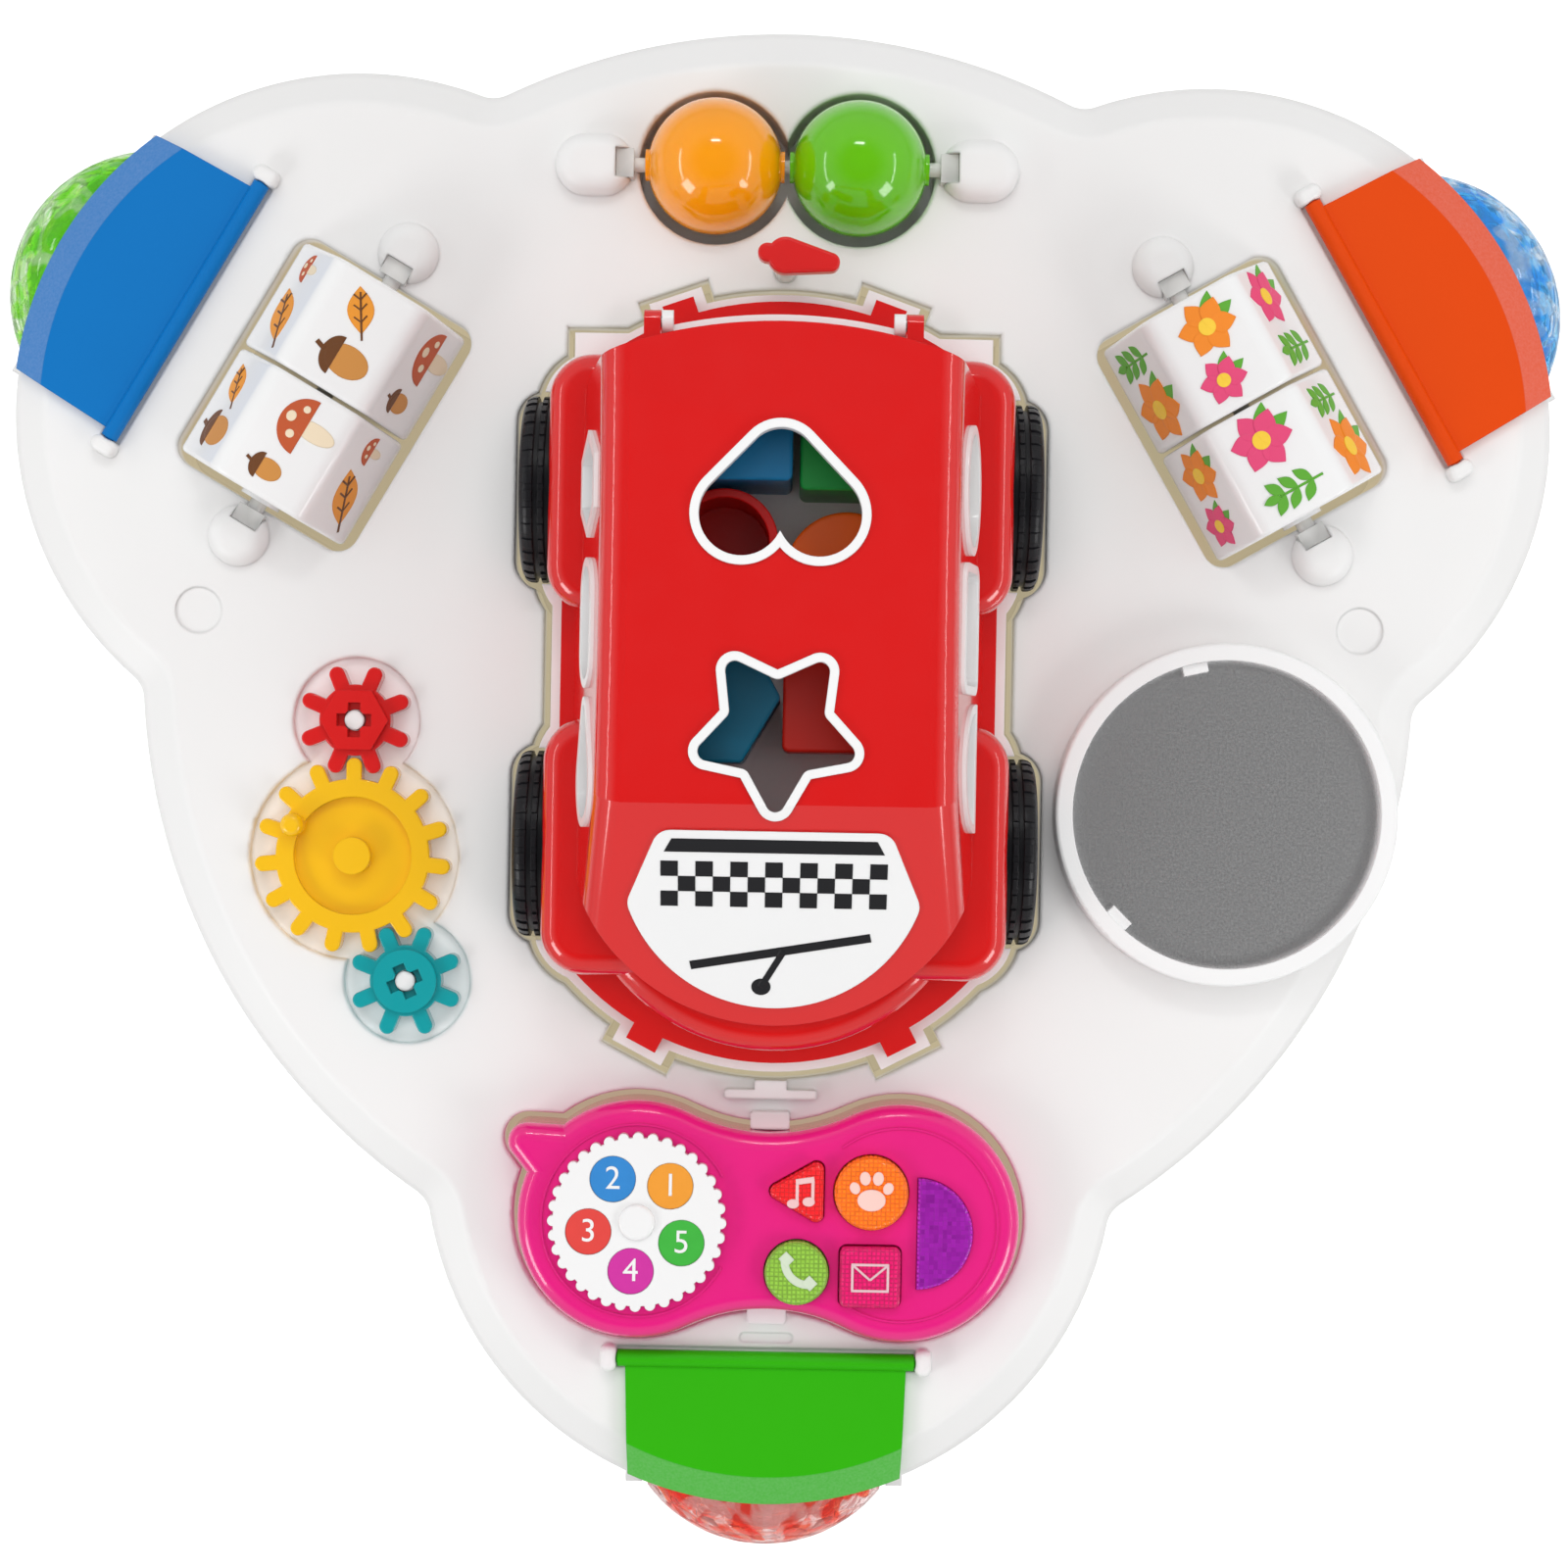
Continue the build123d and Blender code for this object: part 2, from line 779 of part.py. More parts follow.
def leg_form(inset):
    """A leg under its collar: a slim cone that leans out, drawn in by an inset."""
    drop = leg_collar_length
    length = table_height - table_depth - drop - foot_sole
    with BuildPart() as form:
        with BuildSketch(Plane((0, leg_distance, -table_depth - drop))):
            Circle(leg_top_radius - inset)
        with BuildSketch(Plane((0, leg_distance + leg_splay, -table_depth - drop - length))):
            Circle(leg_foot_radius - inset)
        loft()
    return form.part


with BuildPart() as leg:
    add(leg_form(0))
    with BuildSketch(Plane((0, leg_distance, -table_depth - leg_collar_length))):
        Circle(leg_collar_radius)
    extrude(amount=leg_collar_length)
    add(leg_form(leg_wall).moved(Pos(0, 0, -leg_wall)), mode=Mode.SUBTRACT)
    with BuildSketch(Plane((0, leg_distance, -table_depth - leg_collar_length - leg_wall - overrun))):
        Circle(leg_collar_radius - leg_wall)
    extrude(amount=leg_collar_length + leg_wall + 2 * overrun, mode=Mode.SUBTRACT)
for colour, angle in lobe_angles.items():
    save(leg.part, f"leg_{colour}", corner(angle))

with BuildPart() as foot:
    with BuildSketch(Plane((0, leg_distance + leg_splay, -table_height))):
        Circle(foot_radius)
    extrude(amount=foot_height)
    fillet(foot.edges().filter_by(GeomType.CIRCLE), foot_bulge)
    add(leg_form(0), mode=Mode.SUBTRACT)
with BuildPart() as leg_feet:
    for angle in lobe_angles.values():
        add(foot.part.moved(corner(angle)))
save(leg_feet.part, "leg_feet")

# Corner flaps, rollers and their axles

flap_edge = lobe_radius - flap_setback
flap_slope = math.atan2(bevel_drop, bevel_width)
flap_break = lobe_radius - bevel_width
under = running_gap
upper = running_gap + flap_thickness
knee_under = flap_break + under * math.tan(flap_slope / 2)
knee_upper = flap_break + upper * math.tan(flap_slope / 2)
edge_under = under / math.cos(flap_slope) - (flap_edge - flap_break) * math.tan(flap_slope)
edge_upper = upper / math.cos(flap_slope) - (flap_edge - flap_break) * math.tan(flap_slope)

with BuildPart() as flap:
    with BuildSketch(Plane((0, lobe_distance, 0), x_dir=(1, 0, 0), z_dir=(0, -1, 0))):
        with BuildLine():
            Polyline((0, under), (knee_under, under), (flap_edge, edge_under),
                     (flap_edge, edge_upper), (knee_upper, upper), (0, upper), close=True)
        make_face()
    revolve(axis=Axis((0, lobe_distance, 0), (0, 0, 1)))
    with BuildSketch(Plane.XY.offset(-bevel_drop - overrun)):
        with BuildLine():
            reach = lobe_distance + lobe_radius + overrun
            Polyline((-flap_root_width / 2, hinge_distance), (-flap_tip_width / 2, reach),
                     (flap_tip_width / 2, reach), (flap_root_width / 2, hinge_distance), close=True)
        make_face()
    extrude(amount=bevel_drop + 2 * overrun + upper, mode=Mode.INTERSECT)
    with BuildSketch(lying(0, hinge_distance, hinge_rise)):
        Circle(hinge_rod_radius)
    extrude(amount=hinge_rod_length / 2, both=True)
    with BuildSketch(lying(0, hinge_distance, hinge_rise)):
        Circle(hinge_pin_radius)
    extrude(amount=hinge_rod_length / 2 + hinge_pin_length, both=True)
for colour, angle in lobe_angles.items():
    save(flap.part, f"flap_{colour}", corner(angle))

roller_end = corner_roller_radius - corner_roller_crown + math.sqrt(
    corner_roller_crown**2 - corner_roller_half_length**2)
roller_inner_half = corner_roller_half_length - corner_roller_wall
roller_inner_crown = corner_roller_crown - corner_roller_wall
roller_inner_end = corner_roller_radius - corner_roller_crown + math.sqrt(
    roller_inner_crown**2 - roller_inner_half**2)
roller_bore = corner_axle_radius + running_gap

with BuildPart() as corner_roller:
    with BuildSketch(Plane((0, corner_roller_distance, -corner_roller_drop))):
        with BuildLine():
            crown = corner_roller_radius
            half = corner_roller_half_length
            inner = roller_inner_half
            Line((-half, roller_bore), (-half, roller_end))
            ThreePointArc((-half, roller_end), (0, crown), (half, roller_end))
            Line((half, roller_end), (half, roller_bore))
            Line((half, roller_bore), (inner, roller_bore))
            Line((inner, roller_bore), (inner, roller_inner_end))
            ThreePointArc((inner, roller_inner_end), (0, crown - corner_roller_wall),
                          (-inner, roller_inner_end))
            Line((-inner, roller_inner_end), (-inner, roller_bore))
            Line((-inner, roller_bore), (-half, roller_bore))
        make_face()
    revolve(axis=Axis((0, corner_roller_distance, -corner_roller_drop), (1, 0, 0)))
roller_colours = {"blue": "green", "orange": "blue", "green": "red"}
for colour, angle in lobe_angles.items():
    save(corner_roller.part, f"corner_roller_{roller_colours[colour]}", corner(angle))

with BuildPart() as corner_axles:
    for angle in lobe_angles.values():
        with BuildSketch(corner_side(angle, corner_roller_distance, -corner_roller_drop)):
            Circle(corner_axle_radius)
        extrude(amount=pocket_half_width + wall, both=True)
save(corner_axles.part, "corner_axles")

# Picture barrels, spin balls and their axles

with BuildPart() as barrel:
    with BuildSketch(lying(picture_gap / 2, picture_distance, 0)):
        hexagon = RegularPolygon(picture_radius, picture_sides, rotation=picture_turn)
        fillet(hexagon.vertices(), picture_edge_round)
    extrude(amount=picture_length)
    fillet(barrel.faces().filter_by(Axis.X).edges(), picture_end_round)
    with BuildSketch(lying(picture_gap / 2 + picture_length, picture_distance, 0)):
        Circle(picture_hub_radius)
    extrude(amount=picture_hub_length)
    with BuildSketch(lying(0, picture_distance, 0)):
        Circle(picture_axle_radius + running_gap)
    extrude(amount=picture_length + picture_well_length, mode=Mode.SUBTRACT)
with BuildPart() as barrel_twin:
    add(barrel.part)
    mirror(about=Plane.YZ, mode=Mode.REPLACE)
save(barrel.part, "picture_barrel_left_back", corner(lobe_angles["blue"]))
save(barrel_twin.part, "picture_barrel_left_front", corner(lobe_angles["blue"]))
save(barrel_twin.part, "picture_barrel_right_back", corner(lobe_angles["orange"]))
save(barrel.part, "picture_barrel_right_front", corner(lobe_angles["orange"]))



def tabbed_axle(post):
    """A fixed axle with a flat tab near each end that keeps it from turning."""
    plane, x, y, rise, bore, width = post
    side = Plane(plane.from_local_coords((0, y, rise)), x_dir=plane.y_dir, z_dir=plane.x_dir)
    with BuildPart() as axle_form:
        with BuildSketch(side):
            Circle(bore)
        extrude(amount=x, both=True)
        add(axle_tabs(post, 0))
        extrude(amount=rise + bore + axle_tab_cover)
    return axle_form.part


with BuildPart() as picture_axles:
    for post in axle_posts()[:2]:
        add(tabbed_axle(post))
save(picture_axles.part, "picture_axles")

with BuildPart() as spin_ball:
    Sphere(ball_radius)
    with BuildSketch(lying(-ball_radius - picture_gap / 2, 0, 0)):
        Circle(ball_hub_radius)
    extrude(amount=2 * ball_radius + picture_gap)
    Sphere(ball_radius - ball_wall, mode=Mode.SUBTRACT)
    with BuildSketch(lying(-ball_radius - overrun, 0, 0)):
        Circle(ball_axle_radius + running_gap)
    extrude(amount=2 * (ball_radius + overrun), mode=Mode.SUBTRACT)
save(spin_ball.part, "spin_ball_orange", deck(-ball_x, ball_y, ball_rise).location)
save(spin_ball.part, "spin_ball_green", deck(ball_x, ball_y, ball_rise).location)

with BuildPart() as ball_axle:
    add(tabbed_axle(axle_posts()[-1]))
save(ball_axle.part, "ball_axle")

# Pointer on its post

with BuildPart() as pointer_post:
    with BuildSketch(deck(y=pointer_y, z=-wall)):
        Circle(pointer_post_radius)
    extrude(amount=wall + pointer_rise - running_gap)
    with BuildSketch(deck(y=pointer_y, z=pointer_rise - running_gap)):
        Circle(pointer_pin_radius)
    extrude(amount=pointer_thickness - edge_round + running_gap)
save(pointer_post.part, "pointer_post")

with BuildPart() as pointer:
    with BuildSketch(deck(y=pointer_y, z=pointer_rise, turn=pointer_tilt)):
        with BuildSketch():
            Circle(pointer_hub_radius)
            with Locations((pointer_reach - pointer_tip_radius, 0)):
                Circle(pointer_tip_radius)
            make_hull()
        with BuildSketch():
            Circle(pointer_tip_radius)
            with Locations((-pointer_tail, 0)):
                Circle(pointer_tip_radius)
            make_hull()
    extrude(amount=pointer_thickness)
    fillet(pointer.faces().sort_by(Axis.Z)[-1].edges(), edge_round)
    with BuildSketch(deck(y=pointer_y, z=pointer_rise)):
        Circle(pointer_pin_radius + running_gap)
    extrude(amount=pointer_thickness - edge_round + running_gap, mode=Mode.SUBTRACT)
save(pointer.part, "pointer")

# Gear train


def gear_blank(place, teeth, first_tooth):
    """A gear of finger teeth with round tips; the first tooth points along an angle."""
    root = gear_size(teeth) - gear_addendum - gear_root_clearance
    tip = gear_size(teeth) + gear_addendum
    with BuildPart() as blank:
        with BuildSketch(deck(*place, running_gap - gear_well_depth, first_tooth)):
            Circle(root)
            with PolarLocations(root / 2, teeth):
                with Locations(((tip - tooth_half_width - root / 2) / 2, 0)):
                    SlotCenterToCenter(tip - tooth_half_width - root / 2, 2 * tooth_half_width)
        extrude(amount=gear_thickness)
        fillet(blank.faces().sort_by(Axis.Z)[-1].edges(), edge_round / 2)
    return blank.part


gear_top = running_gap - gear_well_depth + gear_thickness
half_step = 180.0 / gear_small_teeth
big_place = (gear_big_x, gear_big_y)

with BuildPart() as gear_yellow:
    add(gear_blank(big_place, gear_big_teeth, gear_red_direction))
    with BuildSketch(deck(*big_place, gear_top)):
        Circle(gear_dish_radius)
        Circle(gear_hub_radius, mode=Mode.SUBTRACT)
    extrude(amount=-gear_dish_depth, mode=Mode.SUBTRACT)
    with BuildSketch(deck(*big_place, gear_top - edge_round)):
        Circle(gear_hub_radius)
        with PolarLocations(crank_distance, 1, start_angle=crank_angle):
            Circle(crank_radius)
    extrude(amount=gear_boss_height + edge_round)
    with BuildSketch(deck(*big_place, gear_top)):
        with PolarLocations(crank_distance, 1, start_angle=crank_angle):
            Circle(crank_radius)
    extrude(amount=crank_height)
    fillet(gear_yellow.faces().sort_by(Axis.Z)[-1].edges(), soft_round)
    with BuildSketch(deck(*big_place, -gear_well_depth)):
        Circle(gear_post_radius + running_gap)
    extrude(amount=gear_well_depth + gear_post_top - gear_boss_height + running_gap,
            mode=Mode.SUBTRACT)
save(gear_yellow.part, "gear_yellow")

with BuildPart() as gear_red:
    add(gear_blank(gear_red_place, gear_small_teeth, gear_red_direction + half_step))
    with BuildSketch(deck(*gear_red_place, gear_top)):
        RegularPolygon(hex_boss_radius, picture_sides)
    extrude(amount=gear_boss_height)
    with BuildSketch(deck(*gear_red_place, gear_top + gear_boss_height)):
        Rectangle(key_length, key_width)
        Rectangle(key_width, key_length)
    extrude(amount=-key_depth, mode=Mode.SUBTRACT)
    with BuildSketch(deck(*gear_red_place, -gear_well_depth)):
        Circle(gear_post_radius + running_gap)
    extrude(amount=gear_well_depth + gear_top + gear_boss_height, mode=Mode.SUBTRACT)
save(gear_red.part, "gear_red")

with BuildPart() as gear_teal:
    add(gear_blank(gear_teal_place, gear_small_teeth, gear_teal_direction + 180))
    with BuildSketch(deck(*gear_teal_place, gear_top)):
        Circle(round_boss_radius)
    extrude(amount=gear_boss_height)
    with BuildSketch(deck(*gear_teal_place, gear_top + gear_boss_height, gear_teal_direction)):
        Rectangle(key_length, key_width)
        Rectangle(key_width, key_length)
    extrude(amount=-key_depth, mode=Mode.SUBTRACT)
    with BuildSketch(deck(*gear_teal_place, -gear_well_depth)):
        Circle(gear_post_radius + running_gap)
    extrude(amount=gear_well_depth + gear_top + gear_boss_height, mode=Mode.SUBTRACT)
save(gear_teal.part, "gear_teal")

# Mirror and its bezel

with BuildPart() as mirror_disc:
    with BuildSketch(deck(mirror_x, mirror_y, mirror_rise)):
        Circle(mirror_radius)
    extrude(amount=mirror_thickness)
save(mirror_disc.part, "mirror_disc")

with BuildPart() as mirror_bezel:
    with BuildSketch(deck(mirror_x, mirror_y, mirror_rise)):
        Circle(bezel_radius)
    extrude(amount=bezel_height)
    fillet(mirror_bezel.faces().sort_by(Axis.Z)[-1].edges(), soft_round / 2)
    with BuildSketch(deck(mirror_x, mirror_y, mirror_rise)):
        Circle(mirror_radius - bezel_lip)
    extrude(amount=bezel_height, mode=Mode.SUBTRACT)
    for angle in bezel_tab_angles:
        with BuildSketch(deck(mirror_x, mirror_y, mirror_rise + mirror_thickness, angle)):
            with Locations((mirror_radius - bezel_tab_reach / 2, 0)):
                Rectangle(2 * bezel_tab_reach, bezel_tab_width)
        extrude(amount=bezel_tab_height)
    with BuildSketch(deck(mirror_x, mirror_y, mirror_rise)):
        Circle(mirror_radius + seat_gap)
    extrude(amount=mirror_thickness, mode=Mode.SUBTRACT)
save(mirror_bezel.part, "mirror_bezel")

# Phone, in the phone's own frame: z is still measured from the table's flat top

phone_place = deck(y=phone_y).location


def button_outline(plane, kind, margin):
    """Outline of one of the four buttons, grown by a margin."""
    with BuildSketch(plane) as shape:
        if kind == "triangle":
            with Locations((triangle_x, triangle_y)):
                point = RegularPolygon(triangle_radius + 2 * margin, 3, rotation=180)
            fillet(point.vertices(), triangle_round + margin)
        elif kind == "orange":
            with Locations((orange_x, orange_y)):
                Circle(orange_radius + margin)
        elif kind == "green":
            with Locations((green_x, green_y)):
                Circle(green_radius + margin)
        else:
            with Locations((square_x, square_y)):
                RectangleRounded(square_side + 2 * margin, square_side + 2 * margin,
                                 square_round + margin)
    return shape.sketch


def lens_outline(plane, margin):
    """Outline of the half-moon lens, grown by a margin."""
    radius = lens_radius + margin
    with BuildSketch(plane) as shape:
        with Locations((lens_x, lens_y)):
            Circle(radius)
            with Locations((-margin + radius, 0)):
                Rectangle(2 * radius, 2 * radius, mode=Mode.INTERSECT)
    return shape.sketch


buttons = ("triangle", "orange", "green", "square")
board_top = board_bottom + board_thickness
cell_middle = phone_bottom + phone_wall + cell_radius

with BuildPart() as phone_front:
    add(phone_outline(Plane.XY.offset(phone_split), 0))
    extrude(amount=phone_top - phone_split)
    fillet(phone_front.faces().sort_by(Axis.Z)[-1].edges(), phone_top_round)
    add(phone_outline(Plane.XY.offset(phone_split - overrun), -phone_wall))
    extrude(amount=phone_top - phone_split - phone_wall + overrun, mode=Mode.SUBTRACT)
    with BuildSketch(Plane.XY.offset(phone_split)):
        with Locations(*phone_screw_places):
            Circle(phone_boss_radius)
    extrude(amount=phone_top - phone_split - phone_wall / 2)
    with BuildSketch(Plane.XY.offset(phone_split)):
        with Locations(*phone_screw_places):
            Circle(screw_radius)
    extrude(amount=screw_length / 2, mode=Mode.SUBTRACT)
    for kind in buttons:
        add(button_outline(Plane.XY.offset(phone_split), kind, button_gap))
        extrude(amount=phone_top - phone_split + overrun, mode=Mode.SUBTRACT)
    add(lens_outline(Plane.XY.offset(phone_split), seat_gap))
    extrude(amount=phone_top - phone_split + overrun, mode=Mode.SUBTRACT)
    with BuildSketch(Plane.XY.offset(phone_split)):
        with Locations((dial_x, 0)):
            Circle(dial_shaft_radius + running_gap)
    extrude(amount=phone_top - phone_split + overrun, mode=Mode.SUBTRACT)
save(phone_front.part, "phone_front", phone_place)

with BuildPart() as phone_back:
    add(phone_outline(Plane.XY.offset(phone_bottom), 0))
    extrude(amount=phone_split - phone_bottom)
    fillet(phone_back.faces().sort_by(Axis.Z)[0].edges(), phone_bottom_round)
    add(phone_outline(Plane.XY.offset(phone_bottom + phone_wall), -phone_wall))
    extrude(amount=phone_split - phone_bottom, mode=Mode.SUBTRACT)
    with BuildSketch(Plane.XY.offset(phone_bottom + phone_wall / 2)):
        with Locations(*phone_screw_places):
            Circle(phone_boss_radius)
    extrude(amount=phone_split - phone_bottom - phone_wall / 2)
    post_x = board_length / 2 - phone_boss_radius
    post_y = board_width / 2 - phone_boss_radius
    with BuildSketch(Plane.XY.offset(phone_bottom + phone_wall / 2)):
        with Locations((board_x, board_y)):
            with Locations((-post_x, post_y), (-post_x, -post_y), (post_x, post_y), (post_x, -post_y)):
                Circle(phone_boss_radius / 2)
    extrude(amount=board_bottom - phone_bottom - phone_wall / 2)
    with BuildSketch(Plane.XY.offset(phone_bottom)):
        with Locations(*phone_screw_places):
            Circle(screw_radius + seat_gap)
    extrude(amount=phone_split - phone_bottom, mode=Mode.SUBTRACT)
    with BuildSketch(Plane.XY.offset(phone_bottom)):
        with Locations(*phone_screw_places):
            Circle(screw_head_radius)
    extrude(amount=screw_head_height, mode=Mode.SUBTRACT)
    with BuildSketch(Plane.XY.offset(phone_bottom)):
        with Locations((dial_x, 0)):
            RectangleRounded(door_length + 2 * seat_gap, door_width + 2 * seat_gap, door_round)
        with Locations((speaker_x, speaker_y)):
            for count, distance in speaker_hole_rings:
                with PolarLocations(distance, count):
                    Circle(speaker_hole_radius)
    extrude(amount=phone_wall, mode=Mode.SUBTRACT)
save(phone_back.part, "phone_back", phone_place)

with BuildPart() as battery_door:
    with BuildSketch(Plane.XY.offset(phone_bottom)):
        with Locations((dial_x, 0)):
            RectangleRounded(door_length, door_width, door_round)
    extrude(amount=phone_wall)
save(battery_door.part, "battery_door", phone_place)

with BuildPart() as phone_batteries:
    for row in (-1, 1):
        with BuildSketch(lying(dial_x - row * cell_length / 2, row * cell_pitch / 2, cell_middle)):
            Circle(cell_radius)
        extrude(amount=row * cell_length)
        with BuildSketch(lying(dial_x + row * cell_length / 2, row * cell_pitch / 2, cell_middle)):
            Circle(cell_tip_radius)
        extrude(amount=row * cell_tip_length)
save(phone_batteries.part, "phone_batteries", phone_place)

with BuildPart() as phone_pcb:
    with BuildSketch(Plane.XY.offset(board_bottom)):
        with Locations((board_x, board_y)):
            Rectangle(board_length, board_width)
    extrude(amount=board_thickness)
save(phone_pcb.part, "phone_pcb", phone_place)

with BuildPart() as button_membrane:
    with BuildSketch(Plane.XY.offset(board_top)):
        with Locations((board_x, board_y)):
            RectangleRounded(board_length, board_width, soft_round)
    extrude(amount=membrane_thickness)
    with BuildSketch(Plane.XY.offset(board_top)):
        with Locations((triangle_x, triangle_y), (orange_x, orange_y), (green_x, green_y),
                       (square_x, square_y)):
            Circle(membrane_dome_radius)
    extrude(amount=membrane_thickness + membrane_dome_height)
save(button_membrane.part, "button_membrane", phone_place)

with BuildPart() as phone_speaker:
    with BuildSketch(Plane.XY.offset(phone_bottom + phone_wall)):
        with Locations((speaker_x, speaker_y)):
            Circle(speaker_radius)
    extrude(amount=speaker_height / 2)
    with BuildSketch(Plane.XY.offset(phone_bottom + phone_wall)):
        with Locations((speaker_x, speaker_y)):
            Circle(speaker_radius / 2)
    extrude(amount=speaker_height)
save(phone_speaker.part, "phone_speaker", phone_place)

with BuildPart() as phone_screws:
    with BuildSketch(Plane.XY.offset(phone_bottom)):
        with Locations(*phone_screw_places):
            Circle(screw_head_radius - seat_gap)
    extrude(amount=screw_head_height)
    with BuildSketch(Plane.XY.offset(phone_bottom)):
        with Locations(*phone_screw_places):
            Circle(screw_radius)
    extrude(amount=phone_split - phone_bottom + screw_length / 2)
save(phone_screws.part, "phone_screws", phone_place)

with BuildPart() as phone_dial:
    with BuildSketch(Plane.XY.offset(phone_top + dial_lift)):
        with Locations((dial_x, 0)):
            Circle(dial_radius)
            with PolarLocations(dial_radius, dial_scallops):
                Circle(dial_scallop_radius)
    extrude(amount=dial_thickness)
    dial_face = phone_top + dial_lift + dial_thickness
    with BuildSketch(Plane.XY.offset(dial_face)):
        with Locations((dial_x, 0)):
            with PolarLocations(dial_hole_distance, dial_hole_count, start_angle=dial_first_angle):
                Circle(dial_hole_radius)
    extrude(amount=-dial_hole_depth, mode=Mode.SUBTRACT)
    with BuildSketch(Plane.XY.offset(dial_face)):
        with Locations((dial_x, 0)):
            Circle(dial_cap_radius)
    extrude(amount=dial_cap_height)
    fillet(phone_dial.faces().sort_by(Axis.Z)[-1].edges(), edge_round)
    with BuildSketch(Plane.XY.offset(phone_top + dial_lift)):
        with Locations((dial_x, 0)):
            Circle(dial_shaft_radius)
    extrude(amount=-dial_shaft_length)
save(phone_dial.part, "phone_dial", phone_place)

with BuildPart() as dial_inserts:
    with BuildSketch(Plane.XY.offset(dial_face - dial_hole_depth)):
        with Locations((dial_x, 0)):
            with PolarLocations(dial_hole_distance, dial_hole_count, start_angle=dial_first_angle):
                Circle(dial_hole_radius - seat_gap)
    extrude(amount=dial_insert_thickness)
save(dial_inserts.part, "dial_inserts", phone_place)

for kind in buttons:
    with BuildPart() as button:
        add(button_outline(Plane.XY.offset(button_bottom), kind, 0))
        extrude(amount=phone_top + button_rise - button_bottom)
        fillet(button.faces().sort_by(Axis.Z)[-1].edges(), button_round)
        with BuildSketch(Plane.XY.offset(button_bottom)):
            add(button_outline(Plane.XY, kind, button_flange))
            add(phone_outline(Plane.XY, -phone_wall - 2 * running_gap), mode=Mode.INTERSECT)
        extrude(amount=button_flange_top - button_bottom)
    save(button.part, f"button_{kind}", phone_place)

with BuildPart() as phone_lens:
    add(lens_outline(Plane.XY.offset(button_bottom), 0))
    extrude(amount=phone_top + lens_rise - button_bottom)
    fillet(phone_lens.faces().sort_by(Axis.Z)[-1].edges(), button_round)
    add(lens_outline(Plane.XY.offset(button_bottom), lens_flange))
    extrude(amount=phone_top - phone_wall - button_bottom)
save(phone_lens.part, "phone_lens", phone_place)

# Car, in the table's own frame: z is measured from the table's flat top

car_place = deck().location
roof_middle_y = (cabin_back + roof_front_y) / 2
car_screw_places = ((-cabin_belt_half + wall + boss_radius - edge_round, 0),
                    (cabin_belt_half - wall - boss_radius + edge_round, 0),
                    (0, cabin_front + wall + boss_radius - edge_round),
                    (0, cabin_back - wall - boss_radius + edge_round))


def cabin_form(inset, floor):
    """The closed form of the cabin, drawn in by an inset, from a floor up."""
    nose_y = cabin_front + cabin_belt_half
    with BuildPart() as form:
        with BuildSketch(Plane.XY.offset(floor)) as plan:
            with Locations((0, nose_y)):
                Circle(cabin_belt_half - inset)
            with Locations((0, (nose_y + cabin_back + overrun) / 2)):
                Rectangle(2 * (cabin_belt_half - inset), cabin_back + overrun - nose_y)
            with Locations((0, cabin_back - cabin_back_radius)):
                Circle(cabin_back_radius - inset, mode=Mode.INTERSECT)
            fillet(plan.vertices().sort_by(Axis.Y)[-2:], cabin_corner - inset)
        extrude(amount=roof_rise + overrun - floor)
        with BuildSketch(Plane.YZ):
            with BuildLine():
                low = floor - 2 * rim_depth
                back = cabin_back + 2 * rim_depth
                foot = cabin_front - 2 * rim_depth
                fall = (roof_front_rise - screen_foot_rise) / (roof_front_y - cabin_front)
                foot_rise = screen_foot_rise - fall * 2 * rim_depth
                Line((foot, low), (back, low))
                Line((back, low), (back, roof_back_rise))
                ThreePointArc((back, roof_back_rise), (roof_middle_y, roof_rise),
                              (roof_front_y, roof_front_rise))
                Line((roof_front_y, roof_front_rise), (foot, foot_rise))
                Line((foot, foot_rise), (foot, low))
            make_face()
            if inset != 0:
                offset(amount=-inset, kind=Kind.INTERSECTION)
        extrude(amount=cabin_belt_half + overrun, both=True, mode=Mode.INTERSECT)
        with BuildSketch(Plane.XZ):
            lean = (cabin_belt_half - roof_half) / (roof_rise - cabin_belt)
            high = roof_rise + 2 * rim_depth
            high_half = roof_half - lean * (high - roof_rise)
            with BuildLine():
                Polyline((-cabin_belt_half, low), (cabin_belt_half, low), (cabin_belt_half, cabin_belt),
                         (high_half, high), (-high_half, high), (-cabin_belt_half, cabin_belt),
                         close=True)
            make_face()
            if inset != 0:
                offset(amount=-inset, kind=Kind.INTERSECTION)
        extrude(amount=cabin_back - cabin_front, both=True, mode=Mode.INTERSECT)
        sides = form.edges().filter_by(is_roof_edge)
        fillet(sides, roof_edge_round - inset)
    return form.part


def is_roof_edge(edge):
    """Whether an edge of the cabin form runs between its roof or screen and a side wall."""
    middle = edge.center()
    box = edge.bounding_box()
    return abs(middle.X) > roof_half / 2 and box.min.Z > cabin_belt + wall and box.size.Y > wall \
        and box.max.Y > roof_front_y - roof_half


def fender(axle_y):
    """A pair of fenders across the car, over one axle."""
    with BuildPart() as form:
        with BuildSketch(Plane((0, axle_y, car_floor))):
            RectangleRounded(2 * fender_half_width, fender_length, fender_corner)
        extrude(amount=fender_top - car_floor)
        fillet(form.faces().sort_by(Axis.Z)[-1].edges(), fender_round)
    return form.part


def arches(margin):
    """The spaces of the four wheels inside the fenders, grown by a margin."""
    with BuildPart() as spaces:
        for side in (-1, 1):
            for axle_y in (rear_axle_y, front_axle_y):
                with BuildSketch(lying(side * (arch_inner - margin), axle_y, wheel_rise)):
                    Circle(wheel_radius + arch_gap + margin)
                extrude(amount=side * (wheel_outer - arch_inner + margin + overrun))
    return spaces.part


